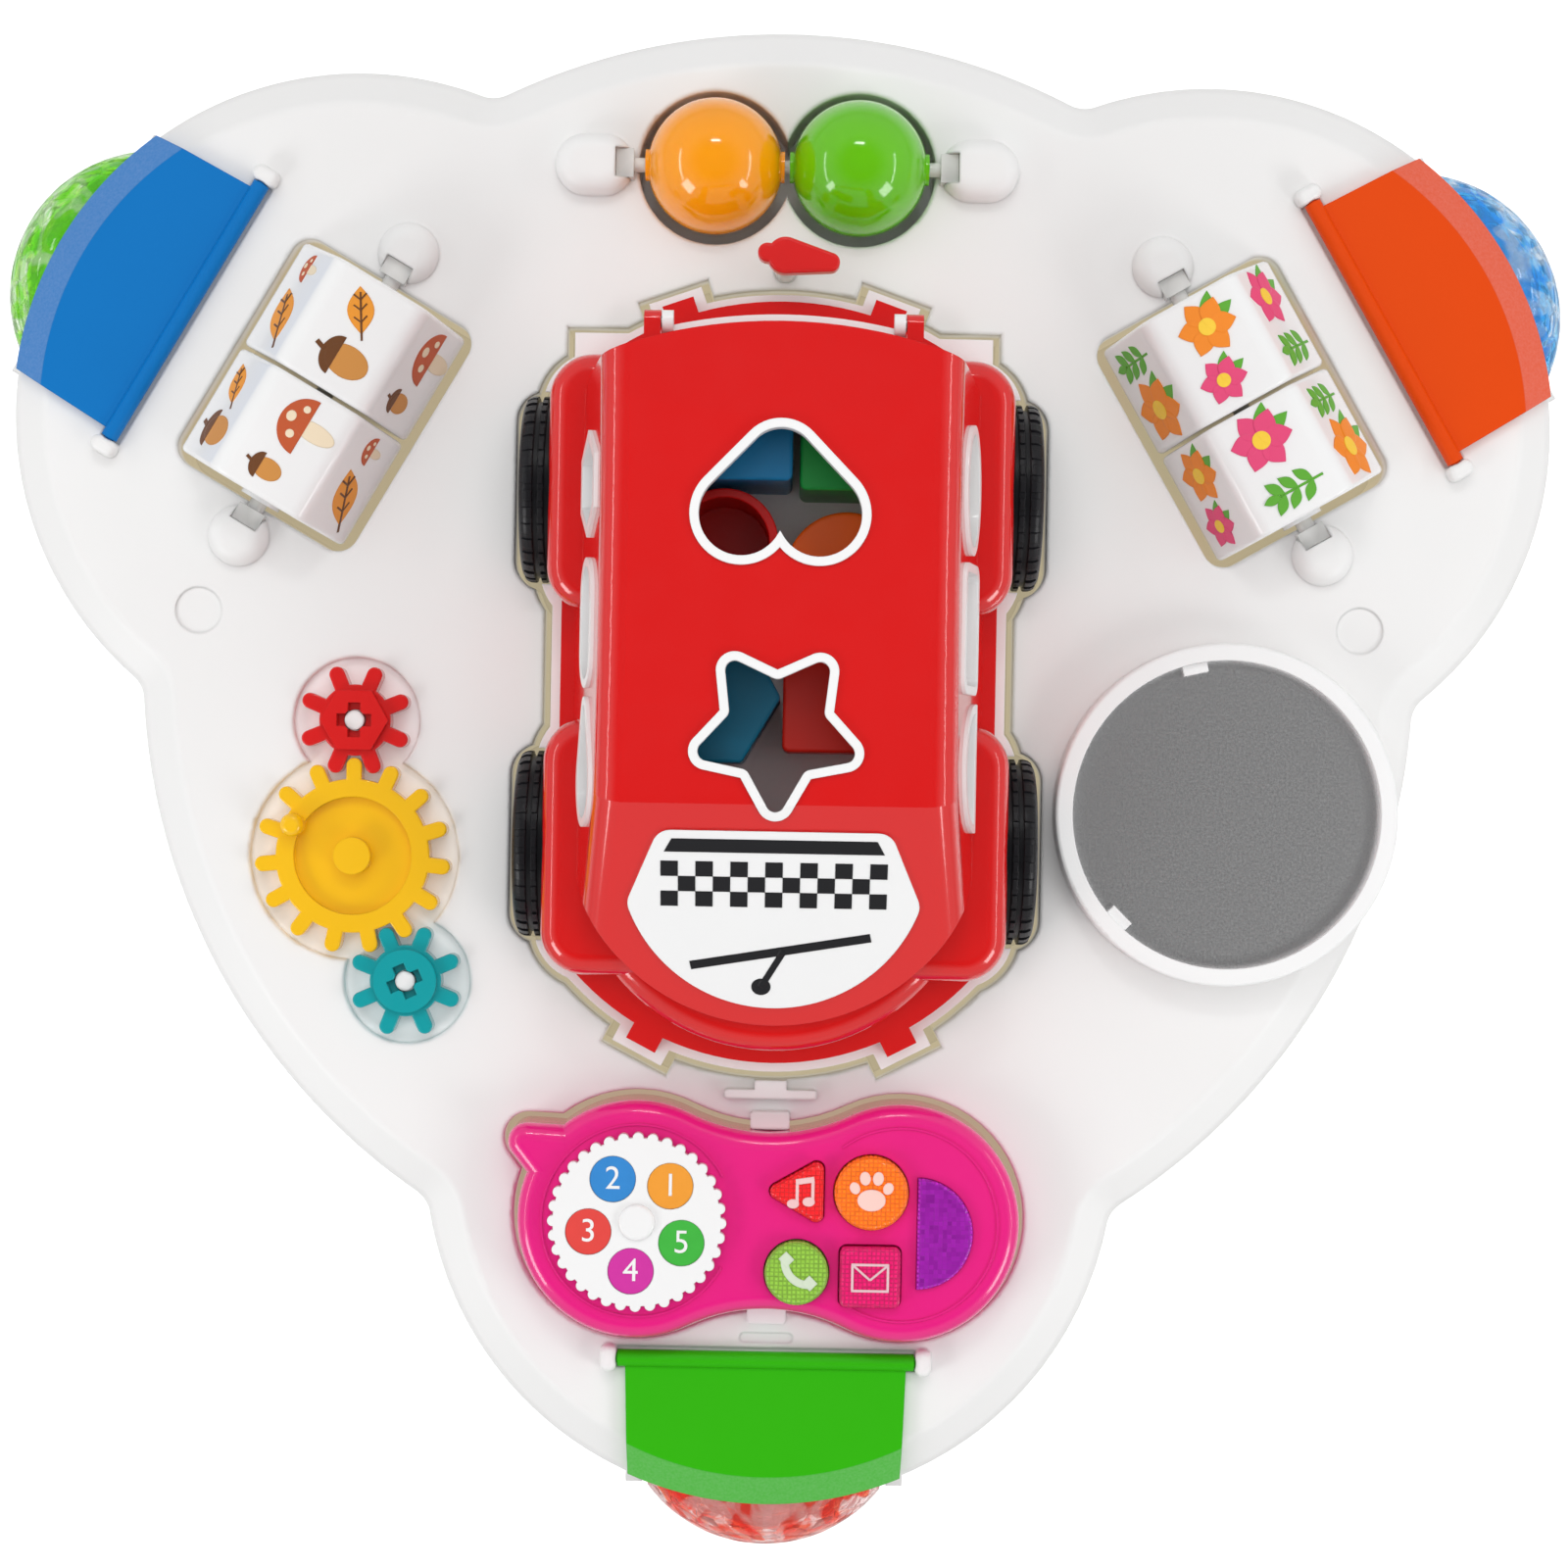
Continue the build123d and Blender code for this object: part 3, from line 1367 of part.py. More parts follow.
def roof_hole(plane, kind, margin):
    """Outline of a sorting hole in the roof, grown by a margin."""
    with BuildSketch(plane) as shape:
        if kind == "heart":
            for side in (-1, 1):
                with BuildSketch():
                    with Locations((side * heart_lobe_x, heart_y + heart_lobe_y)):
                        Circle(heart_lobe_radius + margin)
                    with Locations((0, heart_y + heart_tip)):
                        Circle(heart_tip_round + margin)
                    make_hull()
        else:
            with BuildLine():
                turns = [math.radians(-90 + 180 * i / star_points) for i in range(2 * star_points)]
                reach = [star_radius, star_radius * star_inner_share] * star_points
                Polyline(*[(r * math.cos(a), star_y + r * math.sin(a)) for r, a in zip(reach, turns)],
                         close=True)
            make_face()
            fillet(shape.vertices(), star_round)
            if margin > 0:
                offset(amount=margin)
    return shape.sketch


def side_hole(plane, kind, margin):
    """Outline of a sorting hole in a side wall, grown by a margin; y of the car runs along x."""
    half = window_height / 2 + margin
    with BuildSketch(plane) as shape:
        if kind == "oval":
            Ellipse(window_length / 2 + margin, half)
        elif kind == "rectangle":
            RectangleRounded(window_length + 2 * margin, 2 * half, hole_round + margin)
        elif kind == "moon":
            with Locations((0, -window_height / 2)):
                Circle(window_length / 2 + margin)
            with Locations((0, window_length - half)):
                Rectangle(2 * window_length, 2 * window_length, mode=Mode.INTERSECT)
        elif kind == "hexagon":
            RegularPolygon(half, picture_sides, major_radius=False)
        elif kind == "slot":
            SlotOverall(window_length + 2 * margin, 2 * half - window_height / 4)
        else:
            with Locations((-window_height / 4, 0)):
                Circle(half)
            with Locations((window_length / 2 - hole_round, 0)):
                Circle(hole_round + margin)
            make_hull()
    return shape.sketch


side_kinds = {1: ("oval", "rectangle", "moon"), -1: ("hexagon", "slot", "drop")}


def hole_prisms(margin):
    """Prisms through the roof and the side walls at all sorting holes, grown by a margin."""
    with BuildPart() as prisms:
        for kind in ("heart", "star"):
            low = roof_front_rise - 2 * rim_depth
            add(roof_hole(Plane.XY.offset(low), kind, margin))
            extrude(amount=roof_rise - low + 2 * overrun)
        for side, kinds in side_kinds.items():
            for step, kind in zip((1, 0, -1), kinds):
                deep = roof_half - 2 * rim_depth
                place = lying(side * deep, window_middle_y + step * window_pitch, window_rise)
                add(side_hole(place, kind, margin))
                extrude(amount=cabin_belt_half - deep + overrun, dir=(side, 0, 0))
    return prisms.part


hinge_y = cabin_back + hatch_gap

with BuildPart() as nose:
    with BuildSketch(Plane((0, car_front + car_nose_radius, car_floor))):
        Circle(car_nose_radius)
    extrude(amount=screen_foot_rise - wall - car_floor)
    fillet(nose.faces().sort_by(Axis.Z)[-1].edges(), fender_round)

with BuildPart() as cabin_space:
    add(cabin_form(wall, car_floor - overrun))
    add(arches(wall), mode=Mode.SUBTRACT)

with BuildPart() as car_body:
    add(fender(rear_axle_y))
    add(fender(front_axle_y))
    add(nose.part)
    add(bumper_outline(Plane.XY.offset(car_floor), 0))
    extrude(amount=bumper_top - car_floor)
    add(cabin_form(0, car_floor))
    add(cabin_space.part, mode=Mode.SUBTRACT)
    add(arches(0), mode=Mode.SUBTRACT)
    add(hole_prisms(rim_width), mode=Mode.SUBTRACT)
    with BuildSketch(Plane((0, cabin_back - roof_half, (hatch_bottom + hatch_top) / 2),
                           x_dir=(1, 0, 0), z_dir=(0, 1, 0))):
        RectangleRounded(2 * (hatch_half_width - hatch_opening_inset),
                         hatch_top - hatch_bottom - 2 * hatch_opening_inset, hatch_round)
    extrude(amount=roof_half + overrun, mode=Mode.SUBTRACT)
    for side in (-1, 1):
        lug_x = side * (hatch_half_width + running_gap)
        with BuildSketch(lying(lug_x, hinge_y, hatch_top)):
            Circle(hatch_ear_radius)
            with Locations((-hatch_ear_radius - wall, 0)):
                Rectangle(2 * (hatch_ear_radius + wall), 2 * hatch_ear_radius)
        extrude(amount=side * (hatch_pin_length + edge_round))
        with BuildSketch(lying(lug_x, hinge_y, hatch_top)):
            Circle(hatch_pin_radius + running_gap)
        extrude(amount=side * (hatch_pin_length + running_gap), mode=Mode.SUBTRACT)
    with BuildSketch(Plane.XY.offset(car_floor)):
        with Locations(*car_screw_places):
            Circle(boss_radius)
    extrude(amount=screw_length)
    with BuildSketch(Plane.XY.offset(car_floor)):
        with Locations(*car_screw_places):
            Circle(screw_radius)
    extrude(amount=screw_length - flange_thickness, mode=Mode.SUBTRACT)
save(car_body.part, "car_body", car_place)

with BuildPart() as rim_skin:
    add(cabin_form(-rim_proud, car_floor))
    add(cabin_form(rim_depth, car_floor - overrun), mode=Mode.SUBTRACT)

with BuildPart() as window_rims:
    add(hole_prisms(rim_width))
    add(hole_prisms(0), mode=Mode.SUBTRACT)
    add(rim_skin.part, mode=Mode.INTERSECT)
save(window_rims.part, "window_rims", car_place)

with BuildPart() as screen_skin:
    add(cabin_form(-screen_thickness, car_floor - overrun))
    add(cabin_form(0, car_floor - 2 * overrun), mode=Mode.SUBTRACT)

with BuildPart() as windscreen_panel:
    with BuildSketch(Plane.XY.offset(car_floor)) as screen_shape:
        with BuildLine():
            Polyline((-screen_half, screen_wide_y), (-screen_top_half, screen_top_y),
                     (screen_top_half, screen_top_y), (screen_half, screen_wide_y))
            ThreePointArc((screen_half, screen_wide_y), (0, screen_foot_y), (-screen_half, screen_wide_y))
        make_face()
        fillet(screen_shape.vertices(), screen_round)
    extrude(amount=roof_rise)
    add(screen_skin.part, mode=Mode.INTERSECT)
save(windscreen_panel.part, "windscreen_panel", car_place)

with BuildPart() as rear_hatch:
    with BuildSketch(Plane.XY.offset(hatch_bottom)):
        with Locations((0, cabin_back - cabin_back_radius)):
            Circle(cabin_back_radius + hatch_gap + hatch_thickness)
            Circle(cabin_back_radius + hatch_gap, mode=Mode.SUBTRACT)
        with Locations((0, cabin_back)):
            Rectangle(2 * hatch_half_width, cabin_back, mode=Mode.INTERSECT)
    extrude(amount=hatch_top - hatch_bottom)
    for side in (-1, 1):
        ear_x = side * (hatch_half_width - hatch_ear_width)
        with BuildSketch(lying(ear_x, hinge_y, hatch_top)):
            Circle(hatch_ear_radius)
        extrude(amount=side * hatch_ear_width)
        with BuildSketch(lying(ear_x, hinge_y, hatch_top)):
            Circle(hatch_pin_radius)
        extrude(amount=side * (hatch_ear_width + hatch_pin_length))
save(rear_hatch.part, "rear_hatch", car_place)

with BuildPart() as car_chassis:
    add(car_outline(Plane.XY.offset(car_floor - flange_thickness), flange_width))
    extrude(amount=flange_thickness)
    lug_middle = lug_inner + lug_width / 2
    for axle_y in (rear_axle_y, front_axle_y):
        with BuildSketch(Plane((0, axle_y, car_floor - flange_thickness))):
            with Locations((-lug_middle, 0), (lug_middle, 0)):
                Rectangle(lug_width, lug_length)
        extrude(amount=-lug_drop)
        with BuildSketch(lying(0, axle_y, wheel_rise)):
            Circle(axle_radius + running_gap)
        extrude(amount=car_half_width, both=True, mode=Mode.SUBTRACT)
    add(arches(0), mode=Mode.SUBTRACT)
    with BuildSketch(Plane.XY.offset(car_floor - flange_thickness)):
        with Locations(*car_screw_places):
            Circle(screw_radius + seat_gap)
    extrude(amount=flange_thickness, mode=Mode.SUBTRACT)
save(car_chassis.part, "car_chassis", car_place)

with BuildPart() as car_screws:
    with BuildSketch(Plane.XY.offset(car_floor - flange_thickness)):
        with Locations(*car_screw_places):
            Circle(screw_head_radius)
    extrude(amount=-screw_head_height)
    with BuildSketch(Plane.XY.offset(car_floor - flange_thickness)):
        with Locations(*car_screw_places):
            Circle(screw_radius)
    extrude(amount=screw_length)
save(car_screws.part, "car_screws", car_place)

wheel_inner = wheel_outer - wheel_width

with BuildPart() as wheel:
    with BuildSketch(lying(wheel_inner, 0, 0)):
        Circle(wheel_radius)
    extrude(amount=wheel_width)
    fillet(wheel.edges().filter_by(GeomType.CIRCLE), wheel_round)
    with BuildSketch(lying(wheel_outer, 0, 0)):
        Circle(wheel_dish_radius)
        Circle(wheel_hub_radius, mode=Mode.SUBTRACT)
    extrude(amount=-wheel_dish_depth, mode=Mode.SUBTRACT)
    for share in tread_shares:
        with BuildSketch(lying(wheel_inner + share * wheel_width - tread_width / 2, 0, 0)):
            Circle(wheel_radius)
            Circle(wheel_radius - tread_depth, mode=Mode.SUBTRACT)
        extrude(amount=tread_width, mode=Mode.SUBTRACT)
    with BuildSketch(lying(wheel_inner, 0, 0)):
        Circle(axle_radius)
    extrude(amount=wheel_width - wheel_dish_depth, mode=Mode.SUBTRACT)
with BuildPart() as axle:
    with BuildSketch(lying(0, 0, 0)):
        Circle(axle_radius)
    extrude(amount=wheel_outer - wheel_dish_depth, both=True)
for name, axle_y in (("front", front_axle_y), ("rear", rear_axle_y)):
    middle = deck(y=axle_y, z=wheel_rise).location
    with BuildPart() as wheels:
        add(wheel.part)
        mirror(about=Plane.YZ)
    save(wheels.part, f"{name}_wheels", middle)
    save(axle.part, f"{name}_axle", middle)

# Sorting blocks that lie in the car

block_floor = Plane.XY.offset(car_floor)

with BuildPart() as block_cuboid:
    with BuildSketch(block_floor):
        with Locations((cuboid_x, cuboid_y)):
            RectangleRounded(cuboid_length, cuboid_width, block_round)
    extrude(amount=cuboid_height)
    fillet(block_cuboid.faces().sort_by(Axis.Z)[-1].edges(), block_round / 2)
save(block_cuboid.part, "block_cuboid", car_place)

with BuildPart() as block_wedge:
    with BuildSketch(block_floor) as wedge_shape:
        with BuildLine():
            Polyline((wedge_x, wedge_y), (wedge_x + wedge_width, wedge_y),
                     (wedge_x + wedge_width, wedge_y + wedge_length), (wedge_x, wedge_y + wedge_width),
                     close=True)
        make_face()
        fillet(wedge_shape.vertices(), block_round)
    extrude(amount=wedge_height)
    fillet(block_wedge.faces().sort_by(Axis.Z)[-1].edges(), block_round / 2)
save(block_wedge.part, "block_wedge", car_place)

with BuildPart() as block_cup:
    with BuildSketch(block_floor):
        with Locations((cup_x, cup_y)):
            Circle(cup_radius)
    extrude(amount=cup_height)
    with BuildSketch(Plane.XY.offset(car_floor + wall)):
        with Locations((cup_x, cup_y)):
            Circle(cup_radius - wall)
    extrude(amount=cup_height, mode=Mode.SUBTRACT)
    fillet(block_cup.faces().sort_by(Axis.Z)[-1].edges(), block_round / 4)
save(block_cup.part, "block_cup", car_place)

with BuildPart() as block_hexagon:
    with BuildSketch(block_floor):
        with Locations((hexagon_x, hexagon_y)):
            hexagon = RegularPolygon(hexagon_radius, picture_sides)
        fillet(hexagon.vertices(), block_round)
    extrude(amount=hexagon_height)
    fillet(block_hexagon.faces().sort_by(Axis.Z)[-1].edges(), block_round / 2)
save(block_hexagon.part, "block_hexagon", car_place)

with BuildPart() as block_square:
    with BuildSketch(block_floor):
        with Locations((square_block_x, square_block_y)):
            RectangleRounded(square_block_side, square_block_side, block_round)
    extrude(amount=square_block_height)
    fillet(block_square.faces().sort_by(Axis.Z)[-1].edges(), block_round / 2)
save(block_square.part, "block_square", car_place)

with BuildPart() as block_disc:
    with BuildSketch(block_floor):
        with Locations((disc_x, disc_y)):
            Circle(disc_radius)
    extrude(amount=disc_height)
    fillet(block_disc.faces().sort_by(Axis.Z)[-1].edges(), block_round / 2)
save(block_disc.part, "block_disc", car_place)
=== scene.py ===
import json
import math

import bmesh
import bpy
from bpy.props import FloatProperty, FloatVectorProperty, IntProperty, PointerProperty
from mathutils import Matrix, Vector


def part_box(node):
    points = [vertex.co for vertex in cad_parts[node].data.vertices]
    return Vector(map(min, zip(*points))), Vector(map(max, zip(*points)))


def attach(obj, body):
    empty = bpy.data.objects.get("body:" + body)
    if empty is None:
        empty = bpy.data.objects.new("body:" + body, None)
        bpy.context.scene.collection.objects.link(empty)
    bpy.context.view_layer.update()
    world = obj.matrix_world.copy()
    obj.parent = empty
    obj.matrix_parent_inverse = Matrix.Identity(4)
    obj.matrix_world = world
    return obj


# Looks of a toddler activity table: finishes for every solid, the prints on the barrels, dial, buttons and
# windscreen, the tread of the wheels, and a small photo studio. Metres, in the frame of the solids.

bl_info = {
    "name": "Activity Table Looks",
    "version": (1, 0, 0),
    "blender": (4, 5, 0),
    "location": "3D View > Sidebar > Activity Table",
    "description": "Finishes, prints and studio for a toddler activity table",
    "category": "Object",
}

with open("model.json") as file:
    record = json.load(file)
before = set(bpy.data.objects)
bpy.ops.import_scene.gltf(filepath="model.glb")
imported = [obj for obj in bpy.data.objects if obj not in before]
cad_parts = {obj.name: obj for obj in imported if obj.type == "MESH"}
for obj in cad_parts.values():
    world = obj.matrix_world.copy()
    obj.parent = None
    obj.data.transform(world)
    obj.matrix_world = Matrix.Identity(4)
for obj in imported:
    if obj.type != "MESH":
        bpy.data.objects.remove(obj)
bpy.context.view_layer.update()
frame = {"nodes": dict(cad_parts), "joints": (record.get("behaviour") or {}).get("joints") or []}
NODES = frame["nodes"]
JOINTS = {joint["name"]: joint for joint in frame["joints"]}

MM = 0.001
COLOUR = "NodeSocketColor"
FLOAT = "NodeSocketFloat"

# Places and forms of the solids that the added pieces follow, in millimetres
TABLE_TOP = 330.0
TABLE_MIDDLE_Y = 36.0
PICTURE_MIDDLE = (2.2, -32.5)
BODY_FLAT_RADIUS = 169.0
LOBE_FLAT_RADIUS = 87.0
LOBE_DISTANCE = 138.5
FLAP_BAND = 88.2
FLAP_BAND_EDGE = 0.4
LOBE_ANGLES = (270.0, 30.0, 150.0)
# Depths below the table top where the painted shade of each well comes in, and where the painted glow of the
# shallow recesses comes in
SHADED_WELL_DEPTHS = (4.5, 9.0)
GLOWING_RECESS_DEPTHS = (2.0, 3.0)
BALL_WELL = (20.2, 140.3, 22.5)
BARREL_APOTHEM = 23.383
BARREL_FACES = 6
BARREL_FIRST_FACE = 36.0
DIAL_RING = 13.6
DIAL_COUNT = 5
DIAL_FIRST_ANGLE = 48.0
SCREEN_TOP = (-38.0, 66.5)
SCREEN_FOOT = (-98.0, 33.0)
SCREEN_SKIN = 0.8
SCREEN_INK_SINK = 0.1
WHEEL_OUTER = 72.0
WHEEL_WIDTH = 15.5
WHEEL_RADIUS = 25.5
WHEEL_ROUND = 3.0
ROLLER_CROWN = 43.0
ROLLER_RADIUS = 22.0
CORE_STATIONS = (-27.0, -18.0, -9.0, 0.0, 9.0, 18.0, 27.0)
CORE_SIDES = 12
CORE_HUB = 4.5
CORE_INSET = 4.0
CORE_WAIST_SHARE = 0.9
LUG_ROWS = ((0.9, 1.6, 2.4, 3.1, 3.9), (11.6, 12.4, 13.1, 13.9, 14.6), (5.5, 6.9), (8.6, 10.0))
LUG_SHARE = 0.6
BEAD_WIDTH = 0.7
BEAD_SINK = -0.3
BEAD_RISE = 0.35
BEAD_STEPS = 64
DIAL_BEAD = (26.6, 28, 332)
LENS_BEAD = (26.8, -128, 128)
LENS_BEAD_FROM_END = 33.0
INK_STEP = 0.01

# Optics of the plastics
COAT_ROUGHNESS = 0.06
PLASTIC_SPECULAR = 0.3
FLAP_SPECULAR = 0.15
CLEAR_IOR = 1.46
SCATTER_REACH = (4 * MM, 2 * MM, 1 * MM)
# Painted shade and painted glow of the table: the share of the well colour painted into each well as shade,
# the strength of the painted glow there, and the painted glow of the shallow recesses
PAINTED_SHADE_SHARE = 0.6
PAINTED_GLOW_STRENGTH = 0.5
RECESS_PAINTED_GLOW = 0.3
WHITE = (1.0, 1.0, 1.0, 1.0)
PAPER = (0.9, 0.9, 0.9)

# Floor: half its width in metres, and the glow that it has for other pieces and that the camera adds
FLOOR_REACH = 6.0
FLOOR_GLOW = 0.02
FLOOR_SEEN_GLOW = 0.45

# Where the sky starts to fade and where it has faded, from straight above
TENT_EDGE = (math.radians(50), math.radians(25))

# Lights: name, way from the middle of the table top and size in metres, and the setting of its power
LIGHTS = (
    ("softbox -1", (-0.86, -0.62, 0.55), (0.42, 0.36), "softbox_power"),
    ("softbox 1", (0.86, -0.62, 0.55), (0.42, 0.36), "softbox_power"),
    ("strip", (0.0, 0.75, 0.95), (0.28, 0.04), "strip_power"),
    ("side strip -1", (-1.0, 0.05, 0.55), (0.9, 0.05), "strip_power"),
    ("side strip 1", (1.0, 0.05, 0.55), (0.9, 0.05), "strip_power"),
    ("canopy", (0.0, 0.5, 1.6), (2.0, 2.0), "canopy_power"),
)


# Settings


def colour_setting(label, red, green, blue):
    """A colour that a user may change, in linear values."""
    return FloatVectorProperty(name=label, description=f"Colour of the {label.lower()}", subtype="COLOR",
                               size=3, min=0.0, max=1.0, default=(red, green, blue))


class FinishSettings(bpy.types.PropertyGroup):
    """Colours of the table's pieces."""

    table: colour_setting("Table", 0.83, 0.825, 0.82)
    # Warm beige painted into each well below the table top as painted shade and painted glow
    well_shade: colour_setting("Wells of the table", 0.60, 0.53, 0.37)
    white: colour_setting("White trim", 0.86, 0.86, 0.86)
    red: colour_setting("Red plastic", 0.68, 0.006, 0.006)
    orange: colour_setting("Orange plastic", 0.74, 0.062, 0.0)
    green: colour_setting("Green plastic", 0.030, 0.43, 0.002)
    blue: colour_setting("Blue plastic", 0.001, 0.165, 0.50)
    yellow: colour_setting("Yellow plastic", 0.90, 0.51, 0.002)
    teal: colour_setting("Teal plastic", 0.001, 0.33, 0.36)
    pink: colour_setting("Pink plastic", 0.80, 0.012, 0.22)
    magenta: colour_setting("Magenta button", 0.66, 0.008, 0.13)
    purple: colour_setting("Purple lens", 0.34, 0.015, 0.40)
    black: colour_setting("Black plastic", 0.009, 0.009, 0.011)
    ball_orange: colour_setting("Orange ball", 0.96, 0.34, 0.002)
    ball_green: colour_setting("Green ball", 0.13, 0.52, 0.002)
    steel: colour_setting("Steel", 0.60, 0.61, 0.63)
    mirror: colour_setting("Mirror foil", 0.98, 0.98, 0.99)
    rubber: colour_setting("Rubber", 0.045, 0.045, 0.05)


class PrintSettings(bpy.types.PropertyGroup):
    """Sizes of the printed and raised detail."""

    ink: FloatProperty(name="Ink", description="Thickness of the printed ink", default=0.12 * MM,
                       min=0.02 * MM, max=0.5 * MM, unit="LENGTH")
    layer: FloatProperty(name="Layer", description="Step from one ink to the next above it",
                         default=0.03 * MM, min=0.01 * MM, max=0.2 * MM, unit="LENGTH")
    icon_rise: FloatProperty(name="Icon rise", description="How far an icon stands above its button",
                             default=0.35 * MM, min=0.1 * MM, max=1.0 * MM, unit="LENGTH")
    numeral: FloatProperty(name="Numeral", description="Height of a numeral on the dial",
                           default=9.0 * MM, min=4.0 * MM, max=12.0 * MM, unit="LENGTH")
    lugs: IntProperty(name="Lugs", description="Number of lugs around a wheel", default=34, min=12, max=60)
    lug_rise: FloatProperty(name="Lug rise", description="How far a lug stands above the tread",
                            default=0.5 * MM, min=0.1 * MM, max=1.2 * MM, unit="LENGTH")


class StudioSettings(bpy.types.PropertyGroup):
    """Camera and light of the studio."""

    camera_height: FloatProperty(name="Camera height", description="Height of the camera above the table top",
                                 default=0.9, min=0.4, max=3.0, unit="LENGTH")
    frame_width: FloatProperty(name="Frame width", description="Width of the picture at the table top",
                               default=0.4406, min=0.2, max=1.5, unit="LENGTH")
    roll: FloatProperty(name="Roll", description="Turn of the camera about its own axis",
                        default=math.radians(1.05), subtype="ANGLE")
    softbox_power: FloatProperty(name="Softbox power", description="Power of each softbox in watts",
                                 default=3.0, min=0.0, max=500.0)
    strip_power: FloatProperty(name="Strip power", description="Power of the strip behind, in watts",
                               default=1.0, min=0.0, max=500.0)
    canopy_power: FloatProperty(name="Canopy power", description="Power of the wide light overhead, in watts",
                                default=16.8, min=0.0, max=500.0)
    sky: FloatProperty(name="Sky", description="Strength of the even light from all sides",
                       default=0.62, min=0.0, max=5.0)
    zenith: FloatProperty(name="Zenith", description="Strength of that light from straight above",
                          default=0.09, min=0.0, max=5.0)


# Shader helpers


def add_node(tree, kind, settings=None, **sockets):
    """Add a shader node, set its options, and set or link its inputs; _0 stands for the first input."""
    made = tree.nodes.new(kind)
    for key, value in (settings or {}).items():
        setattr(made, key, value)
    for key, value in sockets.items():
        socket = made.inputs[int(key[1:]) if key[0] == "_" else key.replace("_", " ")]
        if isinstance(value, bpy.types.NodeSocket):
            tree.links.new(value, socket)
        else:
            socket.default_value = value
    return made


def maths(tree, operation, *values):
    """Add a math node and give back its value."""
    sockets = {f"_{i}": value for i, value in enumerate(values)}
    return add_node(tree, "ShaderNodeMath", {"operation": operation}, **sockets).outputs[0]


def blend(tree, factor, first, second):
    """Mix what a socket gives towards a plain colour."""
    mixed = add_node(tree, "ShaderNodeMix", {"data_type": "RGBA"}, Factor=factor)
    tree.links.new(first, mixed.inputs["A"])
    mixed.inputs["B"].default_value = second
    return mixed.outputs["Result"]


def distance(tree, x, y):
    """Distance of a place from an upright line at x and y, in millimetres."""
    place = add_node(tree, "ShaderNodeTexCoord").outputs["Object"]
    flat = add_node(tree, "ShaderNodeVectorMath", {"operation": "MULTIPLY"}, _0=place, _1=(1.0, 1.0, 0.0))
    return add_node(tree, "ShaderNodeVectorMath", {"operation": "DISTANCE"}, _0=flat.outputs[0],
                    _1=(x * MM, y * MM, 0.0)).outputs["Value"]


def lobe_middle(angle):
    """Middle of the lobe at an angle."""
    turn = math.radians(angle)
    return LOBE_DISTANCE * math.cos(turn), TABLE_MIDDLE_Y + LOBE_DISTANCE * math.sin(turn)


def new_group(name, inputs, outputs):
    """Make a shader node group and give back its tree, what it is given and what it puts out."""
    tree = bpy.data.node_groups.new(name, "ShaderNodeTree")
    for label, kind, value in inputs:
        tree.interface.new_socket(label, in_out="INPUT", socket_type=kind).default_value = value
    for label, kind in outputs:
        tree.interface.new_socket(label, in_out="OUTPUT", socket_type=kind)
    return tree, tree.nodes.new("NodeGroupInput").outputs, tree.nodes.new("NodeGroupOutput").inputs


def moulded_skin():
    """Shared effect: clouded colour, uneven gloss and the fine grain of moulded plastic."""
    tree, given, out = new_group(
        "Moulded skin",
        (("Colour", COLOUR, (0.8, 0.8, 0.8, 1.0)), ("Clouding", FLOAT, 0.05), ("Cloud size", FLOAT, 30.0),
         ("Grain size", FLOAT, 1500.0), ("Gloss", FLOAT, 0.3), ("Gloss spread", FLOAT, 0.1)),
        (("Colour", COLOUR), ("Roughness", FLOAT), ("Height", FLOAT)))
    place = add_node(tree, "ShaderNodeTexCoord").outputs["Object"]
    clouds = add_node(tree, "ShaderNodeTexNoise", Vector=place, Scale=given["Cloud size"], Detail=3.0)
    lift = maths(tree, "SUBTRACT", clouds.outputs["Fac"], 0.5)
    value = maths(tree, "MULTIPLY_ADD", lift, given["Clouding"], 1.0)
    shade = add_node(tree, "ShaderNodeHueSaturation", Color=given["Colour"], Value=value)
    smears = add_node(tree, "ShaderNodeTexNoise", Vector=place,
                      Scale=maths(tree, "MULTIPLY", given["Cloud size"], 4.0), Detail=4.0)
    uneven = maths(tree, "SUBTRACT", smears.outputs["Fac"], 0.5)
    grain = add_node(tree, "ShaderNodeTexNoise", Vector=place, Scale=given["Grain size"], Detail=2.0)
    tree.links.new(shade.outputs["Color"], out["Colour"])
    tree.links.new(maths(tree, "MULTIPLY_ADD", uneven, given["Gloss spread"], given["Gloss"]),
                   out["Roughness"])
    tree.links.new(grain.outputs["Fac"], out["Height"])
    return tree


